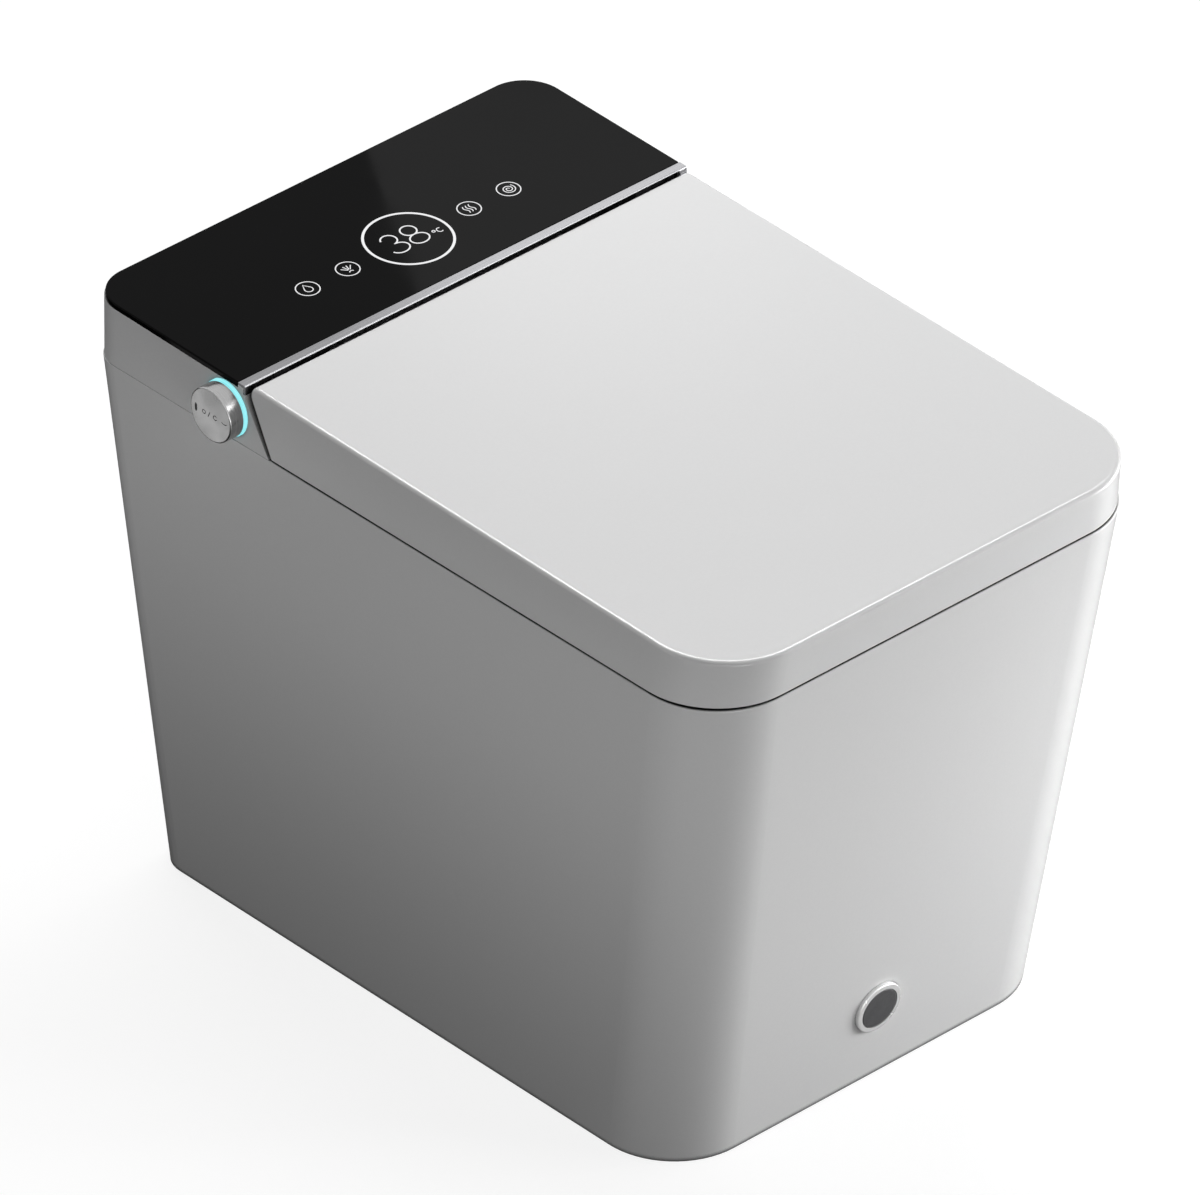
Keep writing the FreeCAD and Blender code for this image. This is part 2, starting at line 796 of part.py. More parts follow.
def seat_heater():
    high = seat_top - seat_wall
    low = high - heater_mat_thickness
    inset = seat_edge_radius + heater_mat_margin
    radius = seat_front_radius - inset
    mat = slab(
        seat_half_width - inset, seat_front_y + inset, seat_hollow_rear_y - heater_mat_margin,
        radius, seat_rear_radius, low, high)
    rim = seat_edge_radius + seat_wall + heater_mat_margin + seat_hole_flare
    return mat.cut(seat_hole(low, high, rim, rim))


def seat_bumpers():
    pads = []
    for y in (seat_front_y + seat_front_radius, bowl_centre_y + bowl_length / 4):
        for side in (-1, 1):
            x = side * (seat_half_width - seat_bumper_inset)
            pads.append(upright(seat_bumper_radius, seat_lift - touch_gap, x, y, rim_height + touch_gap))
    return Part.makeCompound(pads)


# Hinge pins and dampers
def knuckle_span(side):
    """Inner and outer X of a casing knuckle, beside the seat arm."""
    outer = rim_half_width - lid_lug_inset - lid_lug_width - seat_arm_width - 2 * knuckle_side_gap
    ends = (side * outer, side * (outer - knuckle_width))
    return min(ends), max(ends)


def hinge_pins():
    pins = []
    for side in (-1, 1):
        inner = abs(sum(knuckle_span(side))) / 2
        ends = (side * inner, side * (rim_half_width - lid_lug_inset - touch_gap))
        pins.append(lying(pin_radius, min(ends), max(ends), hinge_y, hinge_z))
    return Part.makeCompound(pins)


def damper(side):
    """Soft-close damper on the hinge axis, seated on the inner face of its knuckle."""
    low_x, high_x = knuckle_span(side)
    inner = min(abs(low_x), abs(high_x))
    near = side * inner
    far = side * (inner - damper_length)
    middle = (near + far) / 2
    body = lying(damper_radius, min(near, far), max(near, far), hinge_y, hinge_z)
    body = rounded(body, damper_radius / 4, lambda edge: abs(edge.CenterOfMass.x - far) < touch_gap)
    groove = lying(damper_radius, middle - pin_radius / 2, middle + pin_radius / 2, hinge_y, hinge_z)
    core = lying(damper_radius - touch_gap, middle - pin_radius, middle + pin_radius, hinge_y, hinge_z)
    return body.cut(groove.cut(core))


def seat_damper():
    return damper(-1)


def lid_damper():
    return damper(1)


# Rear casing with its cheeks
def casing_sides(inset):
    """Side form of the casing, from the rim outline to the glass outline, drawn in by an inset."""
    low = (rim_half_width - inset, 0, rear_y - inset, rim_height)
    high = (casing_top_half_width - inset, 0, rear_y - inset, top_height)
    return tapered(low, high, rim_edge_radius, casing_rear_radius - inset)


def casing_front_edges(distance, low):
    """Parting line from a low height up to the round under the lid's rear edge, then to level."""
    round_start = polar(distance, -parting)
    level = polar(distance, 0)
    foot = Vector(0, parting_y(distance, low), low)
    bend = Part.Arc(round_start, polar(distance, -parting / 2), level)
    return [Part.makeLine(foot, round_start), bend.toShape()]


def casing_side_outline():
    low = rim_height + touch_gap
    level = polar(casing_front_radius, 0)
    trim_back_y = trim_front_y + trim_thickness
    ledge = top_level(trim_back_y) - trim_thickness
    back = [
        level,
        Vector(0, trim_back_y, hinge_z),
        Vector(0, trim_back_y, ledge),
        Vector(0, glass_front_y, top_level(glass_front_y) - trim_thickness),
        Vector(0, glass_front_y, top_level(glass_front_y) - glass_thickness),
        Vector(0, rear_y + overrun, top_level(rear_y + overrun) - glass_thickness),
        Vector(0, rear_y + overrun, low),
        Vector(0, parting_y(casing_front_radius, low), low),
    ]
    return casing_front_edges(casing_front_radius, low) + path(back)


def casing_hollow():
    """Space inside the casing, open underneath."""
    low = rim_height - overrun
    shoulder = hinge_z - barrel_radius
    inner = casing_front_radius + casing_wall
    roof_front_y = glass_front_y + casing_top_wall
    points = [
        Vector(0, parting_y(inner, low), low),
        Vector(0, parting_y(inner, shoulder), shoulder),
        Vector(0, roof_front_y, top_level(roof_front_y) - glass_thickness - casing_top_wall),
        Vector(0, rear_y, top_level(rear_y) - glass_thickness - casing_top_wall),
        Vector(0, rear_y, low),
    ]
    return across(chain(points), rim_half_width).common(casing_hollow_sides())


def casing_hollow_sides():
    sides = casing_sides(casing_wall)
    below = sides.copy()
    below.translate(Vector(0, 0, -overrun))
    return sides.fuse(below)


def knuckle(low_x, high_x):
    """Casing hinge knuckle: an eye on a stem that rises from the sloping front wall."""
    depth = 2 * barrel_radius + hinge_gap
    stem = block(low_x, high_x, hinge_y - eye_radius, hinge_y + pin_radius, hinge_z - depth, hinge_z)
    return stem.fuse(lying(eye_radius, low_x, high_x, hinge_y, hinge_z))


def sensor_frame(shape):
    """Place a shape, drawn about the origin, on the sloping front wall."""
    low = rim_height + tray_flange_thickness
    z = low + (hinge_z - low) * sensor_level_share
    outward = Vector(0, -math.cos(parting), math.sin(parting))
    return aimed(shape, Vector(sensor_window_x, parting_y(casing_front_radius, z), z), outward)


def sensor_plate(extra):
    width = sensor_window_width + 2 * extra
    height = sensor_window_height + 2 * extra
    corner = Vector(-height / 2, -width / 2, -sensor_window_thickness)
    return Part.makeBox(height, width, sensor_window_thickness, corner)


def seat_sensor_window():
    return sensor_frame(sensor_plate(0))


def rear_casing():
    casing = across(casing_side_outline(), rim_half_width + overrun).common(casing_sides(0))
    casing = casing.cut(casing_hollow())
    flange_half = tray_flange_half_width + touch_gap
    flange_top = rim_height + tray_flange_thickness + touch_gap
    flange_rear = chamber_front_y + overrun
    casing = casing.cut(block(-flange_half, flange_half, 0, flange_rear, rim_height, flange_top))
    for side in (-1, 1):
        low_x, high_x = knuckle_span(side)
        casing = casing.fuse(knuckle(low_x, high_x).cut(casing_hollow()))
        casing = casing.cut(lying(pin_radius, low_x, high_x, hinge_y, hinge_z))
    casing = casing.cut(display_pocket())
    casing = casing.cut(sensor_frame(sensor_plate(touch_gap)))
    outside_x = -rim_half_width - overrun
    inside_x = -rim_half_width + overrun
    ring_pocket = lying(ring_outer_radius + touch_gap, outside_x, ring_seat_x, knob_y, knob_z)
    shaft_hole = lying(knob_shaft_radius + eye_clearance, outside_x, inside_x, knob_y, knob_z)
    return casing.cut([ring_pocket, shaft_hole]).removeSplitter()


def sloped_plate(half_width, front_y, back_y, front_radius, rear_radius, drop, thickness):
    """Plate under the sloping top plane, by a drop below it."""
    plan = slab(half_width, front_y, back_y, front_radius, rear_radius, rim_height, top_height + overrun)
    top = [Vector(0, y, top_level(y) - drop) for y in (front_y - overrun, back_y + overrun)]
    low = [Vector(0, point.y, point.z - thickness) for point in reversed(top)]
    return plan.common(across(chain(top + low), rim_half_width + overrun))


def top_glass():
    glass = sloped_plate(
        casing_top_half_width, glass_front_y, rear_y,
        glass_front_radius, glass_rear_radius, 0, glass_thickness)
    return rounded(glass, glass_edge_radius, on_glass_rim)


def on_glass_rim(edge):
    """True for the top edges of the glass, apart from the one beside the trim."""
    centre = edge.CenterOfMass
    beside_trim = abs(centre.y - glass_front_y) < touch_gap
    return abs(centre.z - top_level(centre.y)) < touch_gap and not beside_trim


def trim_strip():
    """Plated angle along the glass: a front face over the lid's edge and a flange to the glass."""
    back_y = trim_front_y + trim_thickness
    low = hinge_z
    points = [
        Vector(0, trim_front_y, low),
        Vector(0, back_y, low),
        Vector(0, back_y, top_level(back_y) - trim_thickness),
        Vector(0, glass_front_y, top_level(glass_front_y) - trim_thickness),
        Vector(0, glass_front_y, top_level(glass_front_y)),
        Vector(0, trim_front_y, top_level(trim_front_y)),
    ]
    strip = across(chain(points), casing_top_half_width)
    def is_nose(edge):
        centre = edge.CenterOfMass
        near = abs(centre.y - trim_front_y) < touch_gap and abs(centre.z - top_level(centre.y)) < touch_gap
        return near and edge.Length > casing_top_half_width
    return rounded(strip, trim_edge_radius, is_nose)


def display_plate(extra, thickness):
    front_y = glass_front_y + display_board_setback - extra
    back_y = front_y + display_board_depth + 2 * extra
    half_width = display_board_half_width + extra
    radius = glass_front_radius
    return sloped_plate(half_width, front_y, back_y, radius, radius, glass_thickness, thickness)


def display_pocket():
    return display_plate(touch_gap, display_pocket_depth)


def display_board():
    return display_plate(0, display_board_thickness)


# Knob, drawn along X towards the -X side
def knob_part(shape, x):
    return aimed(shape, Vector(x, knob_y, knob_z), Vector(-1, 0, 0))


def knob_light_ring():
    height = rim_half_width + ring_proud + ring_seat_x
    ring = Part.makeCylinder(ring_outer_radius, height)
    ring = rounded(ring, ring_proud / 2, lambda edge: edge.BoundBox.ZMin > height - touch_gap)
    return knob_part(ring.cut(Part.makeCylinder(ring_inner_radius, height)), ring_seat_x)


def knob_cap():
    height = knob_reach - knob_base_gap
    cap = Part.makeCylinder(knob_radius, height)
    cap = rounded(cap, knob_edge_radius, lambda edge: edge.BoundBox.ZMin > height - touch_gap)
    hollow = Part.makeCylinder(knob_radius - knob_wall, height - knob_wall)
    cap = cap.cut(hollow.cut(Part.makeCylinder(knob_boss_radius, height)))
    cap = cap.cut(Part.makeCylinder(knob_shaft_radius + running_clearance, height - knob_wall))
    return knob_part(cap, knob_base_x)


def knob_shaft():
    shaft = Part.makeCylinder(knob_shaft_radius, knob_shaft_length)
    flange_x = encoder_front_x + encoder_wall + touch_gap + knob_flange_thickness
    flange_start = Vector(0, 0, knob_shaft_x + knob_shaft_length - flange_x)
    flange = Part.makeCylinder(knob_flange_radius, knob_flange_thickness, flange_start)
    return knob_part(shaft.fuse(flange), knob_shaft_x + knob_shaft_length)


def encoder_housing():
    half = encoder_width / 2
    back_x = encoder_front_x + encoder_depth
    body = block(encoder_front_x, back_x, knob_y - half, knob_y + half, knob_z - half, knob_z + half)
    cavity_radius = knob_flange_radius + eye_clearance
    cavity = lying(cavity_radius, encoder_front_x + encoder_wall, back_x - encoder_wall, knob_y, knob_z)
    bore = lying(knob_shaft_radius + running_clearance, encoder_front_x, back_x, knob_y, knob_z)
    return body.cut([cavity, bore])


def knob_spring():
    """Coned washer that pushes the knob's flange back out."""
    height = encoder_depth - 2 * encoder_wall - knob_flange_thickness - 2 * touch_gap
    back_x = encoder_front_x + encoder_depth - encoder_wall - touch_gap / 2
    wide = knob_flange_radius - spring_wall
    narrow = knob_shaft_radius + eye_clearance
    return knob_part(coned_ring(wide, narrow, spring_wall, height), back_x)


# Foot button, drawn along Z out of the front wall
def foot_bezel():
    inner = foot_disc_radius + foot_side_clearance
    depth = skirt_wall + foot_ring_proud
    flange = Part.makeCylinder(foot_ring_radius, foot_ring_proud)
    flange = rounded(flange, foot_edge_radius, lambda edge: edge.BoundBox.ZMin > foot_ring_proud - touch_gap)
    sleeve = Part.makeCylinder(inner + foot_sleeve_wall, depth, Vector(0, 0, -depth))
    bore = Part.makeCylinder(inner, 2 * depth, Vector(0, 0, -depth))
    return on_front_wall(flange.fuse(sleeve).cut(bore).removeSplitter())


def foot_button():
    back = foot_disc_proud - foot_disc_thickness
    disc = Part.makeCylinder(foot_disc_radius, foot_disc_thickness, Vector(0, 0, back))
    disc = rounded(disc, foot_edge_radius, lambda edge: edge.BoundBox.ZMin > foot_disc_proud - touch_gap)
    stem_length = foot_housing_depth
    stem = Part.makeCylinder(foot_stem_radius, stem_length, Vector(0, 0, back - stem_length))
    return on_front_wall(disc.fuse(stem).removeSplitter())


def foot_switch_housing():
    front = -skirt_wall - touch_gap
    back = Vector(0, 0, front - foot_housing_depth)
    body = Part.makeCylinder(foot_housing_radius, foot_housing_depth, back)
    inner = foot_housing_radius - foot_housing_wall
    cavity_depth = foot_housing_depth - foot_housing_wall
    cavity = Part.makeCylinder(inner, cavity_depth, Vector(0, 0, front - cavity_depth))
    return on_front_wall(body.cut(cavity))


def foot_spring():
    """Rubber dome that pushes the disc back out."""
    back = -skirt_wall - foot_housing_depth + foot_housing_wall
    height = foot_disc_proud - foot_disc_thickness - back - touch_gap
    wide = foot_housing_radius - 2 * foot_housing_wall - spring_wall
    narrow = foot_stem_radius + foot_housing_wall
    dome = coned_ring(wide, narrow, spring_wall, height)
    dome.translate(Vector(0, 0, back))
    return on_front_wall(dome)


# Works tray in the rear chamber
def works_tray():
    flange_front_y = bowl_rear_y + housing_front_margin
    flange_rear_y = rear_y - tray_flange_rear_margin
    flange_top = rim_height + tray_flange_thickness
    flange = slab(
        tray_flange_half_width, flange_front_y, flange_rear_y, tray_corner_radius, tray_corner_radius,
        rim_height, flange_top)
    pan = slab(
        tray_half_width, tray_front_y, tray_rear_y, tray_corner_radius, tray_corner_radius,
        tray_floor, flange_top)
    inner_radius = tray_corner_radius - tray_wall
    hollow = slab(
        tray_half_width - tray_wall, tray_front_y + tray_wall, tray_rear_y - tray_wall,
        inner_radius, inner_radius, tray_inside, flange_top)
    tray = flange.fuse(pan).cut(hollow)
    sleeve_hole = along_wand(Part.makeCylinder(sleeve_radius + touch_gap, 2 * sleeve_length))
    duct_half = dryer_port_width / 2 + touch_gap
    duct_low = dryer_port_z - touch_gap
    duct_high = dryer_port_z + dryer_port_height + touch_gap
    duct_hole = block(
        dryer_port_x - duct_half, dryer_port_x + duct_half,
        tray_front_y - overrun, tray_front_y + overrun, duct_low, duct_high)
    hole_base = tray_floor - overrun / 2
    inlet_hole = upright(inlet_collar_radius + touch_gap, overrun, inlet_x, inlet_y, hole_base)
    gland_hole = upright(gland_radius + touch_gap, overrun, gland_x, gland_y, hole_base)
    flange_cut = tray_flange_below()
    return tray.cut([sleeve_hole.common(flange_cut), duct_hole, inlet_hole, gland_hole]).removeSplitter()


def tray_flange_below():
    """Space below the tray's flange, where the sleeve passes the front wall."""
    back_y = tray_rear_y - overrun
    return block(-tray_half_width, tray_half_width, chamber_front_y, back_y, tray_inside, rim_height)


# Wash unit, drawn along the wand's sloping axis
def along_wand(shape):
    """Shape drawn along +Z from the wand's exit, turned to run up and back into the casing."""
    direction = Vector(0, math.cos(wand_tilt), math.sin(wand_tilt))
    return aimed(shape, Vector(wand_x, wand_exit_y, wand_exit_z), direction)


def nozzle_housing():
    half = notch_half_width - notch_gap
    high = rim_height - touch_gap
    low = rim_height - notch_depth + touch_gap
    body = block(-half, half, housing_front_y, chamber_front_y, low, high)
    body = body.fuse(along_wand(Part.makeCylinder(sleeve_radius, sleeve_length)).common(housing_reach()))
    bore_radius = wand_radius + running_clearance
    bore = along_wand(Part.makeCylinder(bore_radius, 2 * sleeve_length, Vector(0, 0, -overrun)))
    port_half = dryer_port_width / 2
    port = block(
        dryer_port_x - port_half, dryer_port_x + port_half,
        housing_front_y - overrun, chamber_front_y + overrun,
        dryer_port_z, dryer_port_z + dryer_port_height)
    return body.cut([bore, port]).removeSplitter()


def housing_reach():
    """Space behind the housing's front face, so the sleeve ends flush there."""
    return block(-notch_half_width, notch_half_width, housing_front_y, rear_y, tray_floor, top_height)


def nozzle_wand():
    wand = Part.makeCylinder(wand_radius, wand_length - tip_length, Vector(0, 0, tip_length))
    socket = Part.makeCylinder(wand_bore_radius, wand_length)
    return along_wand(wand.cut(socket))


def nozzle_tip():
    tip = Part.makeCylinder(wand_radius, tip_length)
    tip = rounded(tip, wand_radius / 2, lambda edge: edge.BoundBox.ZMax < touch_gap)
    stem = Part.makeCylinder(wand_bore_radius - running_clearance, tip_length + tip_socket_depth)
    tip = tip.fuse(stem.common(Part.makeCylinder(wand_radius, wand_length, Vector(0, 0, tip_length / 2))))
    holes = []
    for row in (-1, 0, 1):
        for column in (0, 1):
            z = tip_length / 2 + row * spray_hole_pitch
            x = (column - 1 / 2) * spray_hole_pitch
            start = Vector(x, -wand_radius, z)
            holes.append(Part.makeCylinder(spray_hole_radius, wand_radius, start, Vector(0, 1, 0)))
    return along_wand(tip.cut(holes))


def nozzle_motor():
    """Stepper on the sleeve's side, towards the sleeve's rear end."""
    z = sleeve_length - 2 * nozzle_motor_radius
    start = Vector(-sleeve_radius - touch_gap, 0, z)
    body = Part.makeCylinder(nozzle_motor_radius, nozzle_motor_length, start, Vector(-1, 0, 0))
    boss = Part.makeCylinder(nozzle_motor_radius / 2, nozzle_motor_radius / 4, start, Vector(-1, 0, 0))
    boss.translate(Vector(-nozzle_motor_length, 0, 0))
    return along_wand(body.fuse(boss).removeSplitter())


def dryer_duct():
    wall = fan_wall
    half = dryer_port_width / 2
    back_y = fan_y - fan_radius * duct_reach_share
    outer = block(
        dryer_port_x - half, dryer_port_x + half, chamber_front_y + touch_gap, back_y,
        dryer_port_z, dryer_port_z + dryer_port_height)
    inner = block(
        dryer_port_x - half + wall, dryer_port_x + half - wall, chamber_front_y, back_y,
        dryer_port_z + wall, dryer_port_z + dryer_port_height - wall)
    return outer.cut(inner).cut(upright(fan_radius + touch_gap, top_height, fan_x, fan_y, 0))


# Works in the tray
def standing(size, place):
    """Block on the tray's floor."""
    return block(place.x, place.x + size.x, place.y, place.y + size.y, tray_inside, tray_inside + size.z)


def water_heater():
    body = standing(heater_size, heater_place)
    body = rounded(body, heater_edge_radius, lambda edge: edge.BoundBox.ZLength > heater_size.z / 2)
    high = tray_inside + heater_size.z
    y = heater_place.y + heater_size.y / 2
    for share in port_shares:
        x = heater_place.x + heater_size.x * share
        body = body.fuse(upright(heater_port_radius, heater_port_length, x, y, high))
        body = body.cut(upright(heater_port_radius / 2, heater_port_length, x, y, high))
    return body


def booster_pump():
    z = tray_inside + pump_head_radius
    head_end = pump_x + pump_head_length
    head = lying(pump_head_radius, pump_x, head_end, pump_y, z)
    motor = lying(pump_radius, head_end, head_end + pump_length, pump_y, z)
    motor_end = head_end + pump_length
    motor = rounded(motor, pump_radius / 4, lambda edge: abs(edge.CenterOfMass.x - motor_end) < touch_gap)
    half = pump_foot_width / 2
    foot = block(pump_x, head_end + pump_length / 2, pump_y - half, pump_y + half, tray_inside, z)
    return head.fuse([motor, foot]).removeSplitter()


def inlet_valve():
    """Solenoid valve with its threaded inlet passing down through the tray."""
    body = standing(valve_size, valve_place)
    high = tray_inside + valve_size.z
    coil = upright(valve_coil_radius, valve_coil_height, inlet_x, inlet_y, high)
    collar_low = tray_floor - inlet_collar_drop
    spigot_low = collar_low - inlet_length
    collar = upright(inlet_collar_radius, tray_inside - collar_low, inlet_x, inlet_y, collar_low)
    spigot = upright(inlet_radius, inlet_length, inlet_x, inlet_y, spigot_low)
    bore = upright(inlet_bore_radius, inlet_length + valve_size.z / 2, inlet_x, inlet_y, spigot_low)
    return body.fuse([coil, collar, spigot]).cut(bore).removeSplitter()


def inlet_filter():
    y = valve_place.y + valve_size.y + filter_radius + filter_rib_height + touch_gap
    z = tray_inside + filter_radius + filter_rib_height
    start = valve_place.x
    body = lying(filter_radius, start, start + filter_length, y, z)
    pitch = filter_length / filter_ribs
    for index in range(filter_ribs):
        low = start + (index + 1 / 4) * pitch
        body = body.fuse(lying(filter_radius + filter_rib_height, low, low + pitch / 2, y, z))
    return body.removeSplitter()


def diverter_valve():
    body = upright(diverter_radius, diverter_height, diverter_x, diverter_y, tray_inside)
    reach = diverter_radius + diverter_port_length
    middle = Vector(diverter_x, diverter_y, tray_inside + diverter_height / 2)
    for index in range(diverter_ports):
        angle = 2 * math.pi * index / diverter_ports
        along = Vector(math.cos(angle), math.sin(angle), 0)
        body = body.fuse(Part.makeCylinder(diverter_port_radius, reach, middle, along))
    return body.removeSplitter()


def diverter_motor():
    low = tray_inside + diverter_height
    middle = low + diverter_motor_height / 2
    body = upright(diverter_motor_radius, diverter_motor_height, diverter_x, diverter_y, low)
    return rounded(body, diverter_motor_radius / 5, lambda edge: edge.BoundBox.ZMin > middle)


def air_pump():
    body = standing(air_pump_size, air_pump_place)
    high = tray_inside + air_pump_size.z
    x = air_pump_place.x + air_pump_size.x / 2
    y = air_pump_place.y + air_pump_size.y / 2
    centre = Vector(x, y, high)
    dome = Part.makeCone(air_pump_dome_radius, air_pump_dome_radius / 2, air_pump_dome_height, centre)
    return body.fuse(dome).removeSplitter()


def deodoriser():
    body = standing(deodoriser_size, deodoriser_place)
    high = tray_inside + deodoriser_size.z
    pitch = deodoriser_size.x / deodoriser_slots
    margin = deodoriser_slot_depth
    slots = []
    for index in range(deodoriser_slots):
        low_x = deodoriser_place.x + (index + 1 / 2) * pitch - deodoriser_slot_width / 2
        slots.append(block(
            low_x, low_x + deodoriser_slot_width, deodoriser_place.y + margin,
            deodoriser_place.y + deodoriser_size.y - margin, high - deodoriser_slot_depth, high))
    return body.cut(slots)


def dryer_fan():
    """Blower scroll on a foot, open at the top for its inlet and at the side for the duct."""
    low = tray_inside + fan_foot_height
    body = upright(fan_radius, fan_height, fan_x, fan_y, low)
    cavity = upright(fan_radius - fan_wall, fan_height - 2 * fan_wall, fan_x, fan_y, low + fan_wall)
    inlet = upright(fan_inlet_radius, fan_height, fan_x, fan_y, low + fan_wall)
    half = dryer_port_width / 2 - fan_wall
    outlet = block(
        dryer_port_x - half, dryer_port_x + half, fan_y - fan_radius, fan_y,
        dryer_port_z + fan_wall, dryer_port_z + dryer_port_height - fan_wall)
    foot = upright(fan_foot_radius, fan_foot_height, fan_x, fan_y, tray_inside)
    shaft_low = low - impeller_hub_radius
    shaft_hole = upright(impeller_shaft_radius + running_clearance, fan_height, fan_x, fan_y, shaft_low)
    return body.cut([cavity, inlet, outlet]).fuse(foot).cut(shaft_hole).removeSplitter()


def dryer_impeller():
    low = tray_inside + fan_foot_height + fan_wall + impeller_gap
    height = fan_height - 2 * fan_wall - 2 * impeller_gap
    disc = upright(impeller_radius, impeller_disc_thickness, fan_x, fan_y, low)
    hub = upright(impeller_hub_radius, height / 2, fan_x, fan_y, low)
    shaft_depth = fan_wall + impeller_gap + impeller_hub_radius / 2
    shaft = upright(impeller_shaft_radius, shaft_depth, fan_x, fan_y, low - shaft_depth)
    pieces = [hub, shaft]
    for index in range(impeller_blades):
        blade = block(
            impeller_radius - impeller_blade_width, impeller_radius - touch_gap,
            -impeller_blade_thickness / 2, impeller_blade_thickness / 2, 0, height)
        blade.rotate(Vector(impeller_radius, 0, 0), Vector(0, 0, 1), blade_lean_degrees)
        blade.rotate(Vector(0, 0, 0), Vector(0, 0, 1), index * full_turn_degrees / impeller_blades)
        blade.translate(Vector(fan_x, fan_y, low))
        pieces.append(blade)
    return disc.fuse(pieces).removeSplitter()


def control_board():
    low = tray_inside + board_standoff_height
    plate = standing(board_size, board_place)
    plate.translate(Vector(0, 0, board_standoff_height))
    pieces = []
    for x in (board_place.x + board_margin, board_place.x + board_size.x - board_margin):
        for y in (board_place.y + board_margin, board_place.y + board_size.y - board_margin):
            pieces.append(upright(board_standoff_radius, board_standoff_height, x, y, tray_inside))
    for size, share in ((chip_size, chip_shares), (relay_size, relay_shares)):
        x = board_place.x + board_size.x * share[0]
        y = board_place.y + board_size.y * share[1]
        high = low + board_size.z
        pieces.append(block(x, x + size.x, y, y + size.y, high, high + size.z))
    return plate.fuse(pieces).removeSplitter()


def power_supply():
    body = standing(supply_size, supply_place)
    high = tray_inside + supply_size.z
    pitch = supply_size.x / supply_fins
    fins = []
    for index in range(supply_fins):
        low_x = supply_place.x + (index + 1 / 2) * pitch - supply_fin_thickness / 2
        fins.append(block(
            low_x, low_x + supply_fin_thickness, supply_place.y, supply_place.y + supply_size.y,
            high, high + supply_fin_height))
    return body.fuse(fins).removeSplitter()


def flush_valve():
    """Flush valve hanging under the tray, with its outlet collar on the jet pipe."""
    half = flush_width / 2
    front_y = flush_rear_y - flush_depth
    body = block(jet_x - half, jet_x + half, front_y, flush_rear_y, tray_floor - flush_height, tray_floor)
    collar = jet_cylinder(jet_radius + trap_wall, front_y - jet_radius, front_y)
    socket = jet_cylinder(jet_radius + running_clearance, front_y - jet_radius, front_y)
    return body.fuse(collar).cut(socket).removeSplitter()


def jet_pipe():
    back_y = flush_rear_y - flush_depth
    pipe = jet_cylinder(jet_radius, bowl_centre_y, back_y)
    pipe = pipe.cut(jet_cylinder(jet_bore_radius, bowl_centre_y, back_y))
    pieces = pipe.cut(bowl_form(bowl_wall / 2 + touch_gap)).Solids
    return max(pieces, key=lambda piece: piece.Volume)


def cable_gland():
    body = upright(gland_radius, gland_length + tray_wall, gland_x, gland_y, tray_floor - gland_length)
    nut = Part.Face(Part.makePolygon(hexagon(gland_nut_radius, tray_floor - gland_nut_height)))
    collar = upright(gland_nut_radius, tray_wall, gland_x, gland_y, tray_inside)
    gland = body.fuse([nut.extrude(Vector(0, 0, gland_nut_height)), collar])
    bore_length = gland_length + 2 * overrun
    bore = upright(gland_bore_radius, bore_length, gland_x, gland_y, tray_floor - gland_length)
    return gland.cut(bore).removeSplitter()


def hexagon(radius, z):
    points = []
    for index in range(7):
        angle = index * math.pi / 3
        points.append(Vector(gland_x + radius * math.cos(angle), gland_y + radius * math.sin(angle), z))
    return points


pieces = (
    ceramic_body, ceramic_rim, ceramic_bowl, ceramic_trap, drain_seal, works_tray,
    rear_casing, top_glass, trim_strip, display_board, seat_sensor_window,
    hinge_pins, seat_damper, lid_damper, lid_shell, lid_liner, lid_bumpers,
    seat_cover, seat_plate, seat_heater, seat_bumpers,
    knob_cap, knob_shaft, knob_light_ring, knob_spring, encoder_housing,
    foot_button, foot_bezel, foot_spring, foot_switch_housing,
    nozzle_housing, nozzle_wand, nozzle_tip, nozzle_motor,
    water_heater, booster_pump, inlet_valve, inlet_filter, diverter_valve, diverter_motor,
    air_pump, deodoriser, dryer_fan, dryer_impeller, dryer_duct,
    control_board, power_supply, flush_valve, jet_pipe, cable_gland,
)
for piece in pieces:
    shape = piece()
    shape.exportStep("parts/" + piece.__name__ + ".step")
    print(piece.__name__, len(shape.Solids), round(shape.Volume), shape.isValid())
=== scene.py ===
# %% [markdown]
# A smart toilet as a finished picture. The solid shapes come ready made from the imported CAD model, in metres,
# with the floor at zero and the front facing minus Y. This lesson gives every piece its finish, adds the
# printed marks that are too thin for the CAD, and sets up the light and the camera. The first step loads the
# model.

# %% Load the imported model
import json
import math

import bpy
from mathutils import Matrix, Vector


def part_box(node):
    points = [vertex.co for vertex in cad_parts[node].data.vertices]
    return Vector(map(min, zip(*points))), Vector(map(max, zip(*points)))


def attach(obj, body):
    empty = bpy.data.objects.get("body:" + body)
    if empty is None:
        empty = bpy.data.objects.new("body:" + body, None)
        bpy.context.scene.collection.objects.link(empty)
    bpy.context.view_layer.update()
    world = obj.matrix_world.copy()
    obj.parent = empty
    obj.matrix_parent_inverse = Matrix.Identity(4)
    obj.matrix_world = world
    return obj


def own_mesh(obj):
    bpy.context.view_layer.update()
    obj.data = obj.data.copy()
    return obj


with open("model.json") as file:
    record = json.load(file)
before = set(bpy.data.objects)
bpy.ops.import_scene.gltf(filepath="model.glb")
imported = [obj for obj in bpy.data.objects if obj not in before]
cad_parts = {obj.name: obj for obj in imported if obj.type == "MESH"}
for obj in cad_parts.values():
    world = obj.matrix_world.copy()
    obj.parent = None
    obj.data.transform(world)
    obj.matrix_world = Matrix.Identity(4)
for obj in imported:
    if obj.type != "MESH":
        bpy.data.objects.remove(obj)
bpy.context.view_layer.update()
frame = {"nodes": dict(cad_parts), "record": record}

nodes = frame["nodes"]


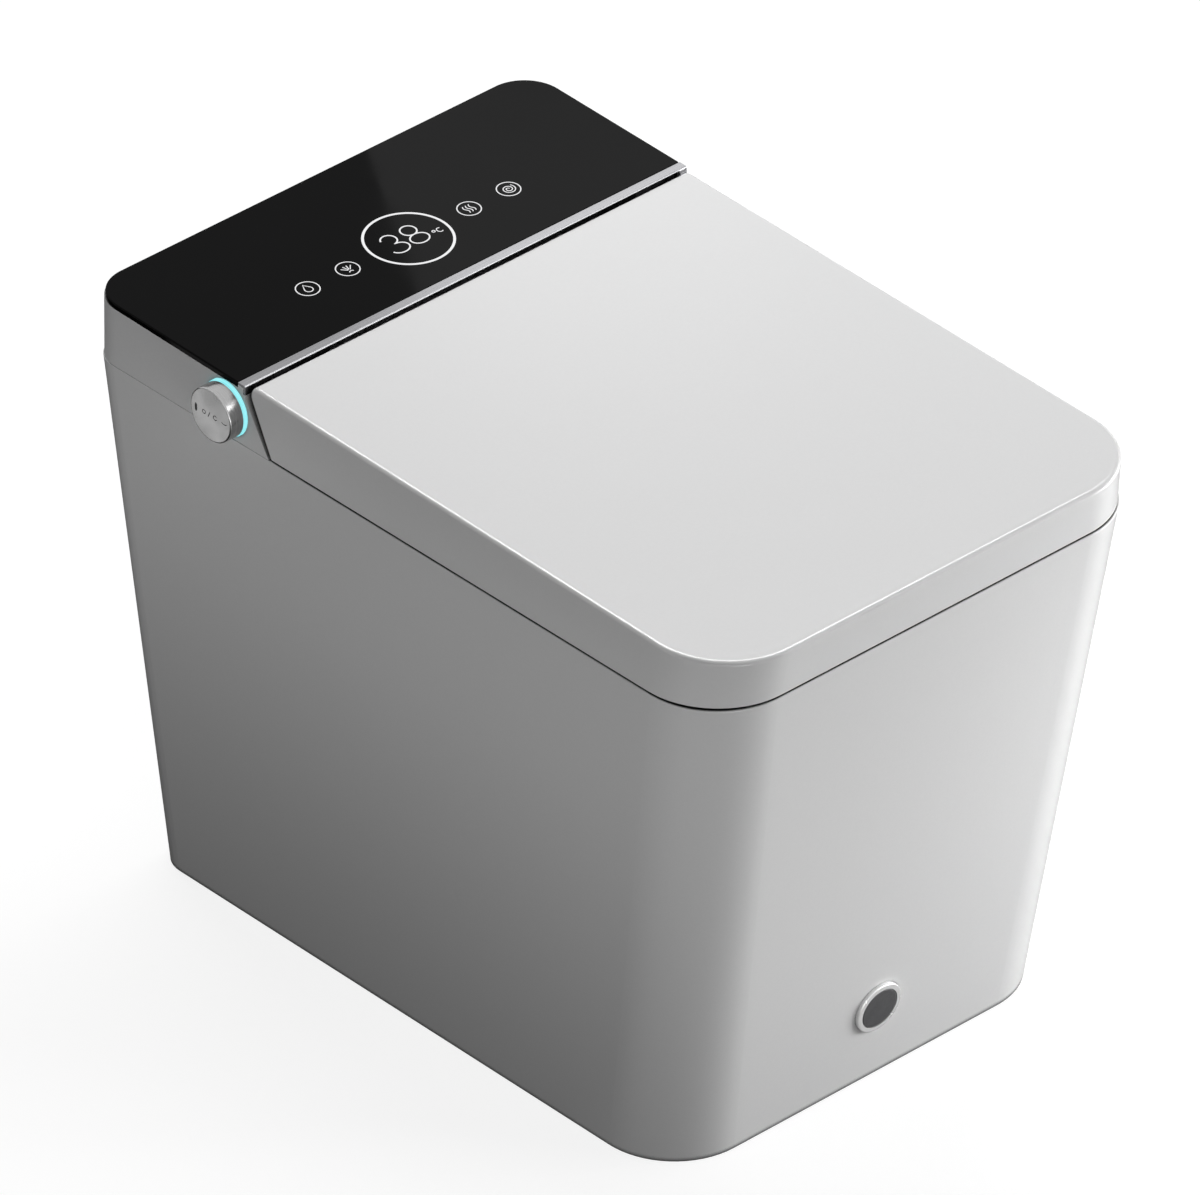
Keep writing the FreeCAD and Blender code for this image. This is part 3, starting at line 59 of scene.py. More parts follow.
# %% [markdown]
# Every finish here is a Principled shader whose colour, roughness and surface relief change a little from
# place to place, as on a real surface. Pictures of real surfaces could give that too, but noise needs no files
# and never repeats. The patterns are read from Object coordinates. All pieces keep their object at the origin,
# so these coordinates are metres in the room and a pattern never stretches.

# %% Helpers that start a finish and read patterns
def start_finish(name):
    """New material with one Principled shader, and the shader itself."""
    material = bpy.data.materials.new(name)
    material.use_nodes = True
    return material, material.node_tree.nodes["Principled BSDF"]


def add_node(material, kind):
    return material.node_tree.nodes.new(kind)


def join(material, output, target):
    material.node_tree.links.new(output, target)


def place_pattern(material, stretch):
    """Object coordinates, scaled along each axis."""
    coordinates = add_node(material, "ShaderNodeTexCoord")
    mapping = add_node(material, "ShaderNodeMapping")
    mapping.inputs["Scale"].default_value = stretch
    join(material, coordinates.outputs["Object"], mapping.inputs["Vector"])
    return mapping.outputs["Vector"]


def cloudy(material, scale, detail=3.0, stretch=(1, 1, 1)):
    """Soft noise, from 0 to 1, with about scale spots to the metre."""
    noise = add_node(material, "ShaderNodeTexNoise")
    noise.inputs["Scale"].default_value = scale
    noise.inputs["Detail"].default_value = detail
    join(material, place_pattern(material, stretch), noise.inputs["Vector"])
    return noise.outputs["Fac"]


print("finish helpers ready")


# %% [markdown]
# A pattern is only a number at each point. The next helpers turn it into a colour between two tones, into a
# roughness or into a relief. Noise seldom leaves the middle of its range, so only the middle is spread out.

# %% Helpers that turn a pattern into colour, gloss and relief
noise_low = 0.3
noise_high = 0.7


def tint(material, pattern, low, high, target):
    """Colour that wanders between two tones with a pattern."""
    ramp = add_node(material, "ShaderNodeValToRGB")
    for element, position, tone in zip(ramp.color_ramp.elements, (noise_low, noise_high), (low, high)):
        element.position = position
        element.color = (*tone, 1)
    join(material, pattern, ramp.inputs["Fac"])
    join(material, ramp.outputs["Color"], target)


def spread(material, value, source, result, target):
    """Number that goes from one range to another."""
    span = add_node(material, "ShaderNodeMapRange")
    span.inputs["From Min"].default_value, span.inputs["From Max"].default_value = source
    span.inputs["To Min"].default_value, span.inputs["To Max"].default_value = result
    join(material, value, span.inputs["Value"])
    join(material, span.outputs["Result"], target)


def vary(material, pattern, low, high, target):
    """Number that wanders between two values with a pattern."""
    spread(material, pattern, (noise_low, noise_high), (low, high), target)


def relief(material, pattern, height, target):
    """Fine surface relief of a height in metres."""
    bump = add_node(material, "ShaderNodeBump")
    bump.inputs["Strength"].default_value = 1.0
    bump.inputs["Distance"].default_value = height
    join(material, pattern, bump.inputs["Height"])
    join(material, bump.outputs["Normal"], target)


print("noise between", noise_low, "and", noise_high, "is spread out")


# %% [markdown]
# The joints between ceramic, lid, seat and casing are under a few millimetres wide, and hardly any light gets
# into them. The lamps alone would leave them grey, because pale walls pass the light on. So shade is painted
# into the pale finishes: their colour gets darker where a point is closed in, which an Ambient Occlusion node
# measures within a short reach.

# %% Helper that paints shade into narrow joints
joint_reach = 0.006
joint_samples = 8
joint_closed = 0.42
joint_open = 0.80
painted_joint_shade = 0.03


def shade_joints(material, target, deepest=painted_joint_shade):
    """Paints shade into a colour: dims it, down to a share, in narrow joints."""
    colour = target.links[0].from_socket
    closeness = add_node(material, "ShaderNodeAmbientOcclusion")
    closeness.samples = joint_samples
    closeness.inputs["Distance"].default_value = joint_reach
    dim = add_node(material, "ShaderNodeVectorMath")
    dim.operation = "SCALE"
    spread(material, closeness.outputs["AO"], (joint_closed, joint_open), (deepest, 1.0), dim.inputs["Scale"])
    join(material, colour, dim.inputs[0])
    join(material, dim.outputs["Vector"], target)


print("joints darken within", joint_reach, "m")


# %% [markdown]
# The record that comes with the model names a slot for each CAD piece. Pieces of one slot are made of the same
# stuff, so one helper gives a finish to all of them.

# %% Helper that dresses a slot
def dress(slot, material):
    """Gives a finish to every CAD piece of a slot."""
    dressed = [row["node"] for row in frame["record"]["subparts"] if row["material_slot"] == slot]
    for node in dressed:
        for place in nodes[node].material_slots:
            place.material = material
    print(slot, "on", ", ".join(dressed))


# %% [markdown]
# The body is vitreous china. Skirt, rim, bowl and trapway are cast in plaster moulds, stuck together while the
# clay is damp, and fired as one piece. The glaze is white, with a fine speckle that only shows close up, and it
# lies in very shallow waves. A thin clear coat over a softer base gives both the milky body and the gloss.

# %% Glazed ceramic
def glazed_ceramic():
    material, shader = start_finish("glazed_ceramic")
    tone = shader.inputs["Base Color"]
    speckle = cloudy(material, scale=500, detail=1.0)
    tint(material, speckle, low=(0.792, 0.793, 0.795), high=(0.803, 0.803, 0.804), target=tone)
    # Painted shade: the glaze colour is dimmed in narrow joints, where little light gets in.
    shade_joints(material, tone)
    haze = cloudy(material, scale=700, detail=1.0)
    vary(material, haze, low=0.26, high=0.27, target=shader.inputs["Roughness"])
    waves = cloudy(material, scale=40, detail=0.0)
    relief(material, waves, height=0.000003, target=shader.inputs["Normal"])
    shader.inputs["IOR"].default_value = 1.38
    shader.inputs["Coat Weight"].default_value = 0.12
    shader.inputs["Coat Roughness"].default_value = 0.12
    return material


dress("ceramic", glazed_ceramic())


# %% [markdown]
# Lid, seat and casing are moulded plastics, each from its own tool. They are a shade apart and all have the
# fine, even grain of a satin mould. One function with a few values makes them, because only tone and grain
# differ from piece to piece.

# %% Moulded plastics
gloss_spread = 0.02


def moulded_plastic(name, low, high, roughness, grain, deepest=painted_joint_shade):
    material, shader = start_finish(name)
    tone = shader.inputs["Base Color"]
    tint(material, cloudy(material, scale=400, detail=1.0), low, high, tone)
    # Painted shade: the plastic's colour is dimmed in narrow joints, where little light gets in.
    shade_joints(material, tone, deepest)
    haze = cloudy(material, scale=600, detail=1.0)
    vary(material, haze, roughness - gloss_spread, roughness + gloss_spread, shader.inputs["Roughness"])
    relief(material, cloudy(material, scale=2600, detail=2.0), grain, shader.inputs["Normal"])
    shader.inputs["IOR"].default_value = 1.42
    return material


dress("lid_plastic", moulded_plastic(
    "lid_plastic", low=(0.792, 0.792, 0.794), high=(0.800, 0.800, 0.801), roughness=0.24, grain=0.000002))
dress("seat_plastic", moulded_plastic(
    "seat_plastic", low=(0.775, 0.775, 0.778), high=(0.79, 0.79, 0.793), roughness=0.26, grain=0.000003))
# The casing's painted shade in its joints goes down only to 0.12 of its colour.
dress("casing_plastic", moulded_plastic(
    "casing_plastic", low=(0.745, 0.745, 0.748), high=(0.757, 0.757, 0.759), roughness=0.32, grain=0.000004,
    deepest=0.12))
dress("white_plastic", moulded_plastic(
    "white_plastic", low=(0.70, 0.70, 0.69), high=(0.75, 0.75, 0.74), roughness=0.40, grain=0.000008))
dress("works_plastic", moulded_plastic(
    "works_plastic", low=(0.20, 0.21, 0.22), high=(0.25, 0.26, 0.27), roughness=0.45, grain=0.000010))


# %% [markdown]
# The control top is a sheet of black glass, printed on its back. It is almost a mirror, so its look comes from
# what it reflects. A clear pane over a black sheet would do the same with more light paths. One dark gloss
# shader is enough: a low index keeps the reflection of the white room faint, and a trace of wiped dust keeps
# the gloss from being perfect.

# %% Black glass and the dark sensor window
def black_glass(name, darkest, palest):
    material, shader = start_finish(name)
    tint(material, cloudy(material, scale=6), darkest, palest, shader.inputs["Base Color"])
    dust = cloudy(material, scale=18, detail=4.0)
    vary(material, dust, low=0.03, high=0.07, target=shader.inputs["Roughness"])
    shader.inputs["IOR"].default_value = 1.10
    return material


dress("black_glass", black_glass(
    "black_glass", darkest=(0.0018, 0.0018, 0.0018), palest=(0.00252, 0.00252, 0.0027)))
dress("dark_window", black_glass(
    "dark_window", darkest=(0.010, 0.010, 0.010), palest=(0.014, 0.014, 0.015)))


# %% [markdown]
# The strip between glass and lid is a plated moulding with fine lines along its length. Stretching the noise
# along X draws these lines. The knob is turned on a lathe, which leaves fine rings round its side. Noise that
# changes fast along X and slowly the other way draws such rings, and they pull the light into a band. The
# metals inside have an even grain, so they come from the same function with an even stretch.

# %% Plated, turned and plain metals
gloss_less = 0.05
gloss_more = 0.06


def lined_metal(name, low, high, roughness, stretch, depth):
    material, shader = start_finish(name)
    lines = cloudy(material, scale=1.0, detail=2.0, stretch=stretch)
    tint(material, lines, low, high, shader.inputs["Base Color"])
    vary(material, lines, roughness - gloss_less, roughness + gloss_more, shader.inputs["Roughness"])
    relief(material, lines, depth, shader.inputs["Normal"])
    shader.inputs["Metallic"].default_value = 1.0
    return material


dress("plated_trim", lined_metal(
    "plated_trim", low=(0.27, 0.27, 0.28), high=(0.29, 0.29, 0.30), roughness=0.17,
    stretch=(3, 1500, 1500), depth=0.0000001))
dress("brushed_knob", lined_metal(
    "turned_knob", low=(0.40, 0.40, 0.40), high=(0.44, 0.44, 0.44), roughness=0.24,
    stretch=(3600, 40, 40), depth=0.000018))
dress("steel", lined_metal(
    "steel", low=(0.50, 0.50, 0.51), high=(0.58, 0.58, 0.59), roughness=0.28,
    stretch=(400, 400, 400), depth=0.000002))
dress("cast_metal", lined_metal(
    "cast_metal", low=(0.48, 0.48, 0.50), high=(0.58, 0.58, 0.60), roughness=0.45,
    stretch=(500, 500, 500), depth=0.00002))
dress("motor_metal", lined_metal(
    "motor_metal", low=(0.28, 0.29, 0.31), high=(0.36, 0.37, 0.39), roughness=0.42,
    stretch=(300, 300, 300), depth=0.000008))
dress("brass_fitting", lined_metal(
    "brass_fitting", low=(0.62, 0.46, 0.20), high=(0.72, 0.56, 0.28), roughness=0.30,
    stretch=(60, 60, 900), depth=0.000004))
dress("heater_foil", lined_metal(
    "heater_foil", low=(0.60, 0.60, 0.61), high=(0.74, 0.74, 0.75), roughness=0.35,
    stretch=(180, 180, 180), depth=0.00004))


# %% [markdown]
# The foot button is a dark disc with a soft satin skin, set in a white gloss ring. The ring's plastic has a
# pearl coat, which mirrors the white room more strongly than plain plastic does. A second coat layer could do
# that, but a shader that is partly metallic gives it with one value.

# %% Foot button finishes
def foot_disc_skin():
    material, shader = start_finish("foot_disc_skin")
    mottle = cloudy(material, scale=90)
    tint(material, mottle, low=(0.055, 0.055, 0.058), high=(0.075, 0.075, 0.078),
         target=shader.inputs["Base Color"])
    vary(material, cloudy(material, scale=300), low=0.42, high=0.52, target=shader.inputs["Roughness"])
    skin = cloudy(material, scale=5200, detail=2.0)
    relief(material, skin, height=0.000012, target=shader.inputs["Normal"])
    return material


def pearl_ring():
    material, shader = start_finish("pearl_ring")
    mottle = cloudy(material, scale=60)
    tint(material, mottle, low=(0.90, 0.90, 0.90), high=(0.94, 0.94, 0.94), target=shader.inputs["Base Color"])
    vary(material, cloudy(material, scale=200), low=0.22, high=0.28, target=shader.inputs["Roughness"])
    shader.inputs["Metallic"].default_value = 0.6
    return material


dress("foot_pad", foot_disc_skin())
dress("foot_ring", pearl_ring())


# %% [markdown]
# Rubber shows at the drain seal and at the pads under seat and lid. It is matt, slightly dusty and never quite
# black, so roughness and a coarse relief matter more than its colour.

# %% Rubbers
def rubber(name, low, high):
    material, shader = start_finish(name)
    tint(material, cloudy(material, scale=70), low, high, shader.inputs["Base Color"])
    vary(material, cloudy(material, scale=240), low=0.62, high=0.78, target=shader.inputs["Roughness"])
    grit = cloudy(material, scale=3000, detail=2.0)
    relief(material, grit, height=0.00002, target=shader.inputs["Normal"])
    return material


dress("black_rubber", rubber("black_rubber", low=(0.018, 0.018, 0.018), high=(0.032, 0.032, 0.033)))
dress("rubber_pad", rubber("rubber_pad", low=(0.50, 0.50, 0.50), high=(0.58, 0.58, 0.58)))


# %% [markdown]
# Circuit boards are green with a net of copper tracks under the lacquer. Real tracks could be modelled as thin
# strips, but they only show with the casing off. A brick pattern gives such a net: its joints are the tracks
# and its bricks the bare fields.

# %% Circuit boards
def circuit_board():
    material, shader = start_finish("circuit_board")
    tracks = add_node(material, "ShaderNodeTexBrick")
    tracks.inputs["Scale"].default_value = 90
    tracks.inputs["Mortar Size"].default_value = 0.012
    tracks.inputs["Color1"].default_value = (0.012, 0.10, 0.045, 1)
    tracks.inputs["Color2"].default_value = (0.016, 0.13, 0.055, 1)
    tracks.inputs["Mortar"].default_value = (0.05, 0.24, 0.10, 1)
    join(material, place_pattern(material, (1, 1, 1)), tracks.inputs["Vector"])
    join(material, tracks.outputs["Color"], shader.inputs["Base Color"])
    vary(material, cloudy(material, scale=200), low=0.30, high=0.42, target=shader.inputs["Roughness"])
    return material


dress("board", circuit_board())


# %% [markdown]
# A ring of light glows behind the knob. It is a clear moulding lit from inside. Lamps inside a see-through ring
# would be slow and noisy, so the ring sends out light of its own, a little brighter in some places than others.

# %% Light ring
def lit_moulding():
    material, shader = start_finish("lit_moulding")
    glow = cloudy(material, scale=60, detail=1.0)
    tint(material, glow, low=(0.24, 0.72, 0.76), high=(0.30, 0.78, 0.82),
         target=shader.inputs["Emission Color"])
    shader.inputs["Emission Strength"].default_value = 1.1
    shader.inputs["Base Color"].default_value = (0.10, 0.25, 0.27, 1)
    vary(material, cloudy(material, scale=120), low=0.25, high=0.35, target=shader.inputs["Roughness"])
    return material


dress("light_ring", lit_moulding())


# %% [markdown]
# The marks on the glass are white ink that is lit from behind: a large ring with the water temperature, and two
# small ring buttons on each side. The marks on the knob are plain dark ink. Both inks are a little uneven, as
# printed ink is.

# %% Inks
def lit_ink():
    material, shader = start_finish("lit_ink")
    blotch = cloudy(material, scale=400)
    tint(material, blotch, low=(0.86, 0.87, 0.88), high=(0.92, 0.92, 0.93),
         target=shader.inputs["Emission Color"])
    shader.inputs["Emission Strength"].default_value = 0.85
    shader.inputs["Base Color"].default_value = (0.12, 0.12, 0.12, 1)
    vary(material, cloudy(material, scale=300), low=0.25, high=0.35, target=shader.inputs["Roughness"])
    return material


def dark_ink():
    material, shader = start_finish("dark_ink")
    blotch = cloudy(material, scale=500)
    tint(material, blotch, low=(0.020, 0.020, 0.021), high=(0.035, 0.035, 0.036),
         target=shader.inputs["Base Color"])
    vary(material, cloudy(material, scale=300), low=0.35, high=0.45, target=shader.inputs["Roughness"])
    return material


white_ink = lit_ink()
black_ink = dark_ink()
print("inks:", white_ink.name, black_ink.name)


# %% [markdown]
# Each mark is a line that is drawn once as a flat curve. A curve's own bevel could make it solid, but a
# Geometry Nodes tree that sweeps a thin rectangle along it keeps line width and ink thickness as two named
# inputs.

# %% A tree that sweeps an ink line along a curve
def new_tree(name, inputs):
    """Empty tree with named inputs and one geometry output, and its two ends."""
    tree = bpy.data.node_groups.new(name, "GeometryNodeTree")
    for label, kind in inputs:
        tree.interface.new_socket(label, in_out="INPUT", socket_type=kind)
    tree.interface.new_socket("Geometry", in_out="OUTPUT", socket_type="NodeSocketGeometry")
    return tree, tree.nodes.new("NodeGroupInput"), tree.nodes.new("NodeGroupOutput")


def wire(tree, pairs):
    for output, target in pairs:
        tree.links.new(output, target)


def ink_line_tree():
    tree, entry, leave = new_tree("ink_line", (
        ("Geometry", "NodeSocketGeometry"), ("Line width", "NodeSocketFloat"),
        ("Ink thickness", "NodeSocketFloat"), ("Ink", "NodeSocketMaterial")))
    upright = tree.nodes.new("GeometryNodeSetCurveNormal")
    upright.mode = "Z_UP"
    section = tree.nodes.new("GeometryNodeCurvePrimitiveQuadrilateral")
    sweep = tree.nodes.new("GeometryNodeCurveToMesh")
    sweep.inputs["Fill Caps"].default_value = True
    realize = tree.nodes.new("GeometryNodeRealizeInstances")
    colour = tree.nodes.new("GeometryNodeSetMaterial")
    wire(tree, (
        (entry.outputs["Geometry"], upright.inputs["Curve"]),
        (upright.outputs["Curve"], sweep.inputs["Curve"]),
        (entry.outputs["Line width"], section.inputs["Width"]),
        (entry.outputs["Ink thickness"], section.inputs["Height"]),
        (section.outputs["Curve"], sweep.inputs["Profile Curve"]),
        (sweep.outputs["Mesh"], realize.inputs["Geometry"]),
        (realize.outputs["Geometry"], colour.inputs["Geometry"]),
        (entry.outputs["Ink"], colour.inputs["Material"]),
        (colour.outputs["Geometry"], leave.inputs["Geometry"]),
    ))
    return tree


ink_tree = ink_line_tree()
print("tree:", ink_tree.name, [item.name for item in ink_tree.interface.items_tree])


# %% [markdown]
# A stroke is a list of points with a flag that says whether it closes on itself. Arcs are enough for round
# figures, and a font isn't needed. The strokes become a curve, the tree runs on it, and what it makes is kept
# as a plain mesh, because that is what moves and exports without trouble.

# %% Strokes and the piece that they become
ink_thickness = 0.00012


def arc(centre, radius_x, radius_y, start, end, count=40):
    """Points along an ellipse, from one angle to another in degrees."""
    points = []
    for index in range(count + 1):
        angle = math.radians(start + (end - start) * index / count)
        points.append((centre[0] + radius_x * math.cos(angle), centre[1] + radius_y * math.sin(angle)))
    return points


def ring(centre, radius_x, radius_y, count=64):
    return arc(centre, radius_x, radius_y, 0, 360, count)[:-1], True


def plain_mesh(holder, name):
    """Plain mesh piece of what a holder's modifier makes; the holder goes."""
    evaluated = holder.evaluated_get(bpy.context.evaluated_depsgraph_get())
    mesh = bpy.data.meshes.new_from_object(evaluated)
    bpy.data.objects.remove(holder)
    piece = bpy.data.objects.new(name, mesh)
    bpy.context.scene.collection.objects.link(piece)
    return piece


def run_tree(holder, tree, values):
    """Puts a tree on a holder and sets its named inputs."""
    bpy.context.scene.collection.objects.link(holder)
    modifier = holder.modifiers.new(tree.name, "NODES")
    modifier.node_group = tree
    for item in tree.interface.items_tree:
        if item.in_out == "INPUT" and item.name in values:
            modifier[item.identifier] = values[item.name]


def draw_marks(name, strokes, width, ink, place):
    """Ink lines along strokes, drawn flat and then moved to a place."""
    curve = bpy.data.curves.new(name, "CURVE")
    curve.dimensions = "3D"
    for points, closed in strokes:
        spline = curve.splines.new("POLY")
        spline.points.add(len(points) - 1)
        for point, (x, y) in zip(spline.points, points):
            point.co = (x, y, 0, 1)
        spline.use_cyclic_u = closed
    holder = bpy.data.objects.new(name + "_strokes", curve)
    run_tree(holder, ink_tree, {"Line width": width, "Ink thickness": ink_thickness, "Ink": ink})
    piece = plain_mesh(holder, name)
    piece.data.transform(place)
    print(name, "faces:", len(piece.data.polygons))
    return piece


# %% [markdown]
# The glass slopes down a little towards the front. Its angle could be copied from the CAD by hand, but then a
# new slope would leave the marks behind. Plumb lines that are dropped on the glass give its height at two
# places, and with that the turn that lays a flat drawing on it.

# %% Where the glass is
marks_y = 0.195
plumb_spacing = 0.03
above_all = 2.0


def plumb(node, x, y):
    """Point where a plumb line from above meets a CAD piece."""
    return nodes[node].ray_cast(Vector((x, y, above_all)), Vector((0, 0, -1)))[1]


glass_low = plumb("top_glass", 0.0, marks_y - plumb_spacing)
glass_high = plumb("top_glass", 0.0, marks_y + plumb_spacing)
glass_slope = math.atan2(glass_high.z - glass_low.z, glass_high.y - glass_low.y)
glass_middle = (glass_low + glass_high) / 2
on_glass = Matrix.Translation(glass_middle) @ Matrix.Rotation(glass_slope, 4, "X")
print("glass slope in degrees:", round(math.degrees(glass_slope), 2))
print("marks at", tuple(round(v, 4) for v in glass_middle))


# %% [markdown]
# The large ring shows the water temperature in thin round figures: a three is two open arcs and an eight is two
# closed ones, with the lower bowl a little wider than the upper. A small sign for degrees stands beside them.

# %% Temperature ring and figures
ring_radius = 0.0310
figure_height = 0.0232
bowl_share = 0.25
lower_bowl_width = 1.25
figure_y = 0.0015
three_x = -0.0114
eight_x = 0.0063
unit_place = (0.0185, -0.0046)


def figure_three(x, y, height):
    bowl = height * bowl_share
    upper = arc((x, y + bowl), bowl, bowl, start=160, end=-90)
    lower = arc((x, y - bowl), bowl * lower_bowl_width, bowl, start=90, end=-168)
    return [(upper + lower[1:], False)]


def figure_eight(x, y, height):
    bowl = height * bowl_share
    return [ring((x, y + bowl), bowl, bowl), ring((x, y - bowl), bowl * lower_bowl_width, bowl)]


def degree_sign(x, y):
    dot_radius = 0.0011
    hook_centre = (x + 0.0045, y - 0.0012)
    hook = arc(hook_centre, radius_x=0.0021, radius_y=0.0024, start=50, end=310)
    return [ring((x, y), dot_radius, dot_radius, count=20), (hook, False)]


large_ring = [ring((0, 0), ring_radius, ring_radius, count=96)]
figures = figure_three(three_x, figure_y, figure_height) + figure_eight(eight_x, figure_y, figure_height)
temperature_ring = draw_marks("temperature_ring", large_ring, 0.0019, white_ink, on_glass)
temperature_figures = draw_marks("temperature_figures", figures, 0.0011, white_ink, on_glass)
temperature_unit = draw_marks("temperature_unit", degree_sign(*unit_place), 0.0007, white_ink, on_glass)


# %% [markdown]
# The four small buttons share one ring. Four drawings would do, but it is drawn once and repeated by a second
# tree, which puts a copy on each point of a small mesh, so that all four stay alike.

# %% A tree that repeats a piece on points
def repeat_tree():
    tree, entry, leave = new_tree("repeat_on_points", (
        ("Geometry", "NodeSocketGeometry"), ("Piece", "NodeSocketObject"), ("Ink", "NodeSocketMaterial")))
    fetch = tree.nodes.new("GeometryNodeObjectInfo")
    copy = tree.nodes.new("GeometryNodeInstanceOnPoints")
    realize = tree.nodes.new("GeometryNodeRealizeInstances")
    colour = tree.nodes.new("GeometryNodeSetMaterial")
    wire(tree, (
        (entry.outputs["Geometry"], copy.inputs["Points"]),
        (entry.outputs["Piece"], fetch.inputs["Object"]),
        (fetch.outputs["Geometry"], copy.inputs["Instance"]),
        (copy.outputs["Instances"], realize.inputs["Geometry"]),
        (realize.outputs["Geometry"], colour.inputs["Geometry"]),
        (entry.outputs["Ink"], colour.inputs["Material"]),
        (colour.outputs["Geometry"], leave.inputs["Geometry"]),
    ))
    return tree


repeat_points = repeat_tree()
print("tree:", repeat_points.name, [item.name for item in repeat_points.interface.items_tree])


# %% Button rings
button_ring_radius = 0.0083
button_places = [(-0.091, 0), (-0.055, 0), (0.055, 0), (0.091, 0)]
as_drawn = Matrix.Identity(4)


def repeat(name, piece, points, material, place):
    """Copies of a flat piece on points, as one plain mesh at a place."""
    seeds = bpy.data.meshes.new(name + "_points")
    seeds.from_pydata([(x, y, 0) for x, y in points], [], [])
    holder = bpy.data.objects.new(name + "_points", seeds)
    run_tree(holder, repeat_points, {"Piece": piece, "Ink": material})
    copies = plain_mesh(holder, name)
    bpy.data.objects.remove(piece)
    copies.data.transform(place)
    print(name, "copies:", len(points), "faces:", len(copies.data.polygons))
    return copies


small_ring = [ring((0, 0), button_ring_radius, button_ring_radius, count=48)]
one_ring = draw_marks("one_button_ring", small_ring, 0.0008, white_ink, as_drawn)
button_rings = repeat("button_rings", one_ring, button_places, white_ink, on_glass)


# %% [markdown]
# The pictures in the small rings are plain household signs of our own: a drop, a spray, rising warm air and a
# flush swirl. Each follows a simple rule, so a few lines of arithmetic draw it.

# %% Button signs
def drop_sign():
    tip = (0, 0.0052)
    belly = arc((0, -0.0010), radius_x=0.0030, radius_y=0.0030, start=35, end=-215, count=30)
    return [([tip] + belly, True)]


def spray_sign():
    foot = -0.004
    near_spread, near_reach = 0.001575, 0.0030
    far_spread, far_reach = 0.0075, 0.0078
    rays = []
    for lean in (-0.62, -0.2, 0.2, 0.62):
        near = (near_spread * math.sin(lean), foot + near_reach * math.cos(lean))
        far = (far_spread * math.sin(lean), foot + far_reach * math.cos(lean))
        rays.append(([near, far], False))
    nozzle = arc((0, -0.0042), radius_x=0.0016, radius_y=0.0012, start=0, end=180, count=12)
    return rays + [(nozzle, False)]


def warm_air_sign():
    swing, rise, start, bend = 0.0008, 0.0007, -0.0042, 0.55
    waves = []
    for x in (-0.0026, 0.0, 0.0026):
        waves.append(([(x + swing * math.sin(step * bend), start + rise * step) for step in range(13)], False))
    return waves


def swirl_sign():
    steps, turns = 60, 2.1
    inner, growth = 0.0008, 0.0044
    points = []
    for step in range(steps + 1):
        angle = step / steps * turns * math.tau
        radius = inner + growth * step / steps
        points.append((radius * math.cos(angle), radius * math.sin(angle)))
    return [(points, False)]


sign_line = 0.0007
signs = (("sign_drop", drop_sign), ("sign_spray", spray_sign),
         ("sign_air", warm_air_sign), ("sign_swirl", swirl_sign))
button_signs = []
for (x, y), (name, sign) in zip(button_places, signs):
    centred = on_glass @ Matrix.Translation((x, y, 0))
    button_signs.append(draw_marks(name, sign(), sign_line, white_ink, centred))


# %% [markdown]
# Dark marks on the end of the knob show which way it is turned and pressed. The knob's axis lies along X, so
# the flat drawing is stood up on the knob's face. Its ink is let into the metal, so that the knob gets no
# longer.

# %% Marks on the knob
knob_line = 0.0006
ink_sunk = 0.00004
knob_low, knob_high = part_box("knob_cap")
knob_middle = (knob_low + knob_high) / 2
knob_face = Vector((knob_low.x + ink_sunk, knob_middle.y, knob_middle.z))
stand_up = Matrix.Rotation(math.radians(90), 4, "X")
face_left = Matrix.Rotation(math.radians(-90), 4, "Z")
on_knob = Matrix.Translation(knob_face) @ face_left @ stand_up


def knob_strokes():
    pointer_place, stop_place = (-0.0146, 0), (-0.0066, 0)
    turn_place, less_place = (0.0046, 0), (0.0136, 0.0006)
    pointer = [ring(pointer_place, radius_x=0.0009, radius_y=0.0030, count=24),
               ring(pointer_place, radius_x=0.0004, radius_y=0.0021, count=24)]
    stop = [ring(stop_place, radius_x=0.0016, radius_y=0.0014, count=24)]
    slash = [([(-0.0026, -0.0022), (-0.0006, 0.0022)], False)]
    turn = [(arc(turn_place, radius_x=0.0018, radius_y=0.0016, start=40, end=330, count=24), False)]
    less = [(arc(less_place, radius_x=0.0026, radius_y=0.0014, start=200, end=340, count=16), False)]
    return pointer + stop + slash + turn + less


knob_marks = draw_marks("knob_marks", knob_strokes(), knob_line, black_ink, on_knob)
print("knob from x =", round(knob_low.x, 4), "to", round(knob_high.x, 4))


# %% [markdown]
# Each new piece moves with the body that carries it: the marks on the glass with the fixed body, the marks on
# the knob with the knob.

# %% Put the marks on their bodies
for piece in (temperature_ring, temperature_figures, temperature_unit, button_rings, *button_signs):
    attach(piece, "root")
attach(knob_marks, "knob")
print("marks ride on their bodies")


# %% [markdown]
# Two springs push the buttons back out: a coned steel washer behind the knob and a rubber dome behind the foot
# disc. Each stands on the fixed body and gives way by the button's stroke. Bending them leaf by leaf would take
# a rig, and they are hidden, so here each only gets a mesh of its own.

# %% Springs get meshes of their own
def squash_spring(node):
    spring = nodes[node]
    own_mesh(spring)


squash_spring("knob_spring")
squash_spring("foot_spring")


# %% [markdown]
# The picture stands on a white floor. Only the camera sees it white all over. As a source of light it is a dark
# grey, as in a studio with dark walls, so that the shaded side keeps its depth. In mirrored views it brightens
# towards the front, where the lamps stand, and that is what the bright ring of the foot button picks up. The
# floor still takes the object's shadow.

# %% Floor material
seen_glow = (0.82, 0.82, 0.82, 1)
seen_grey = (0.28, 0.28, 0.28, 1)
unseen_grey = (0.03, 0.03, 0.03, 1)
mirrored_from_y = -0.15
mirrored_to_y = -0.38
mirrored_glow = 0.70


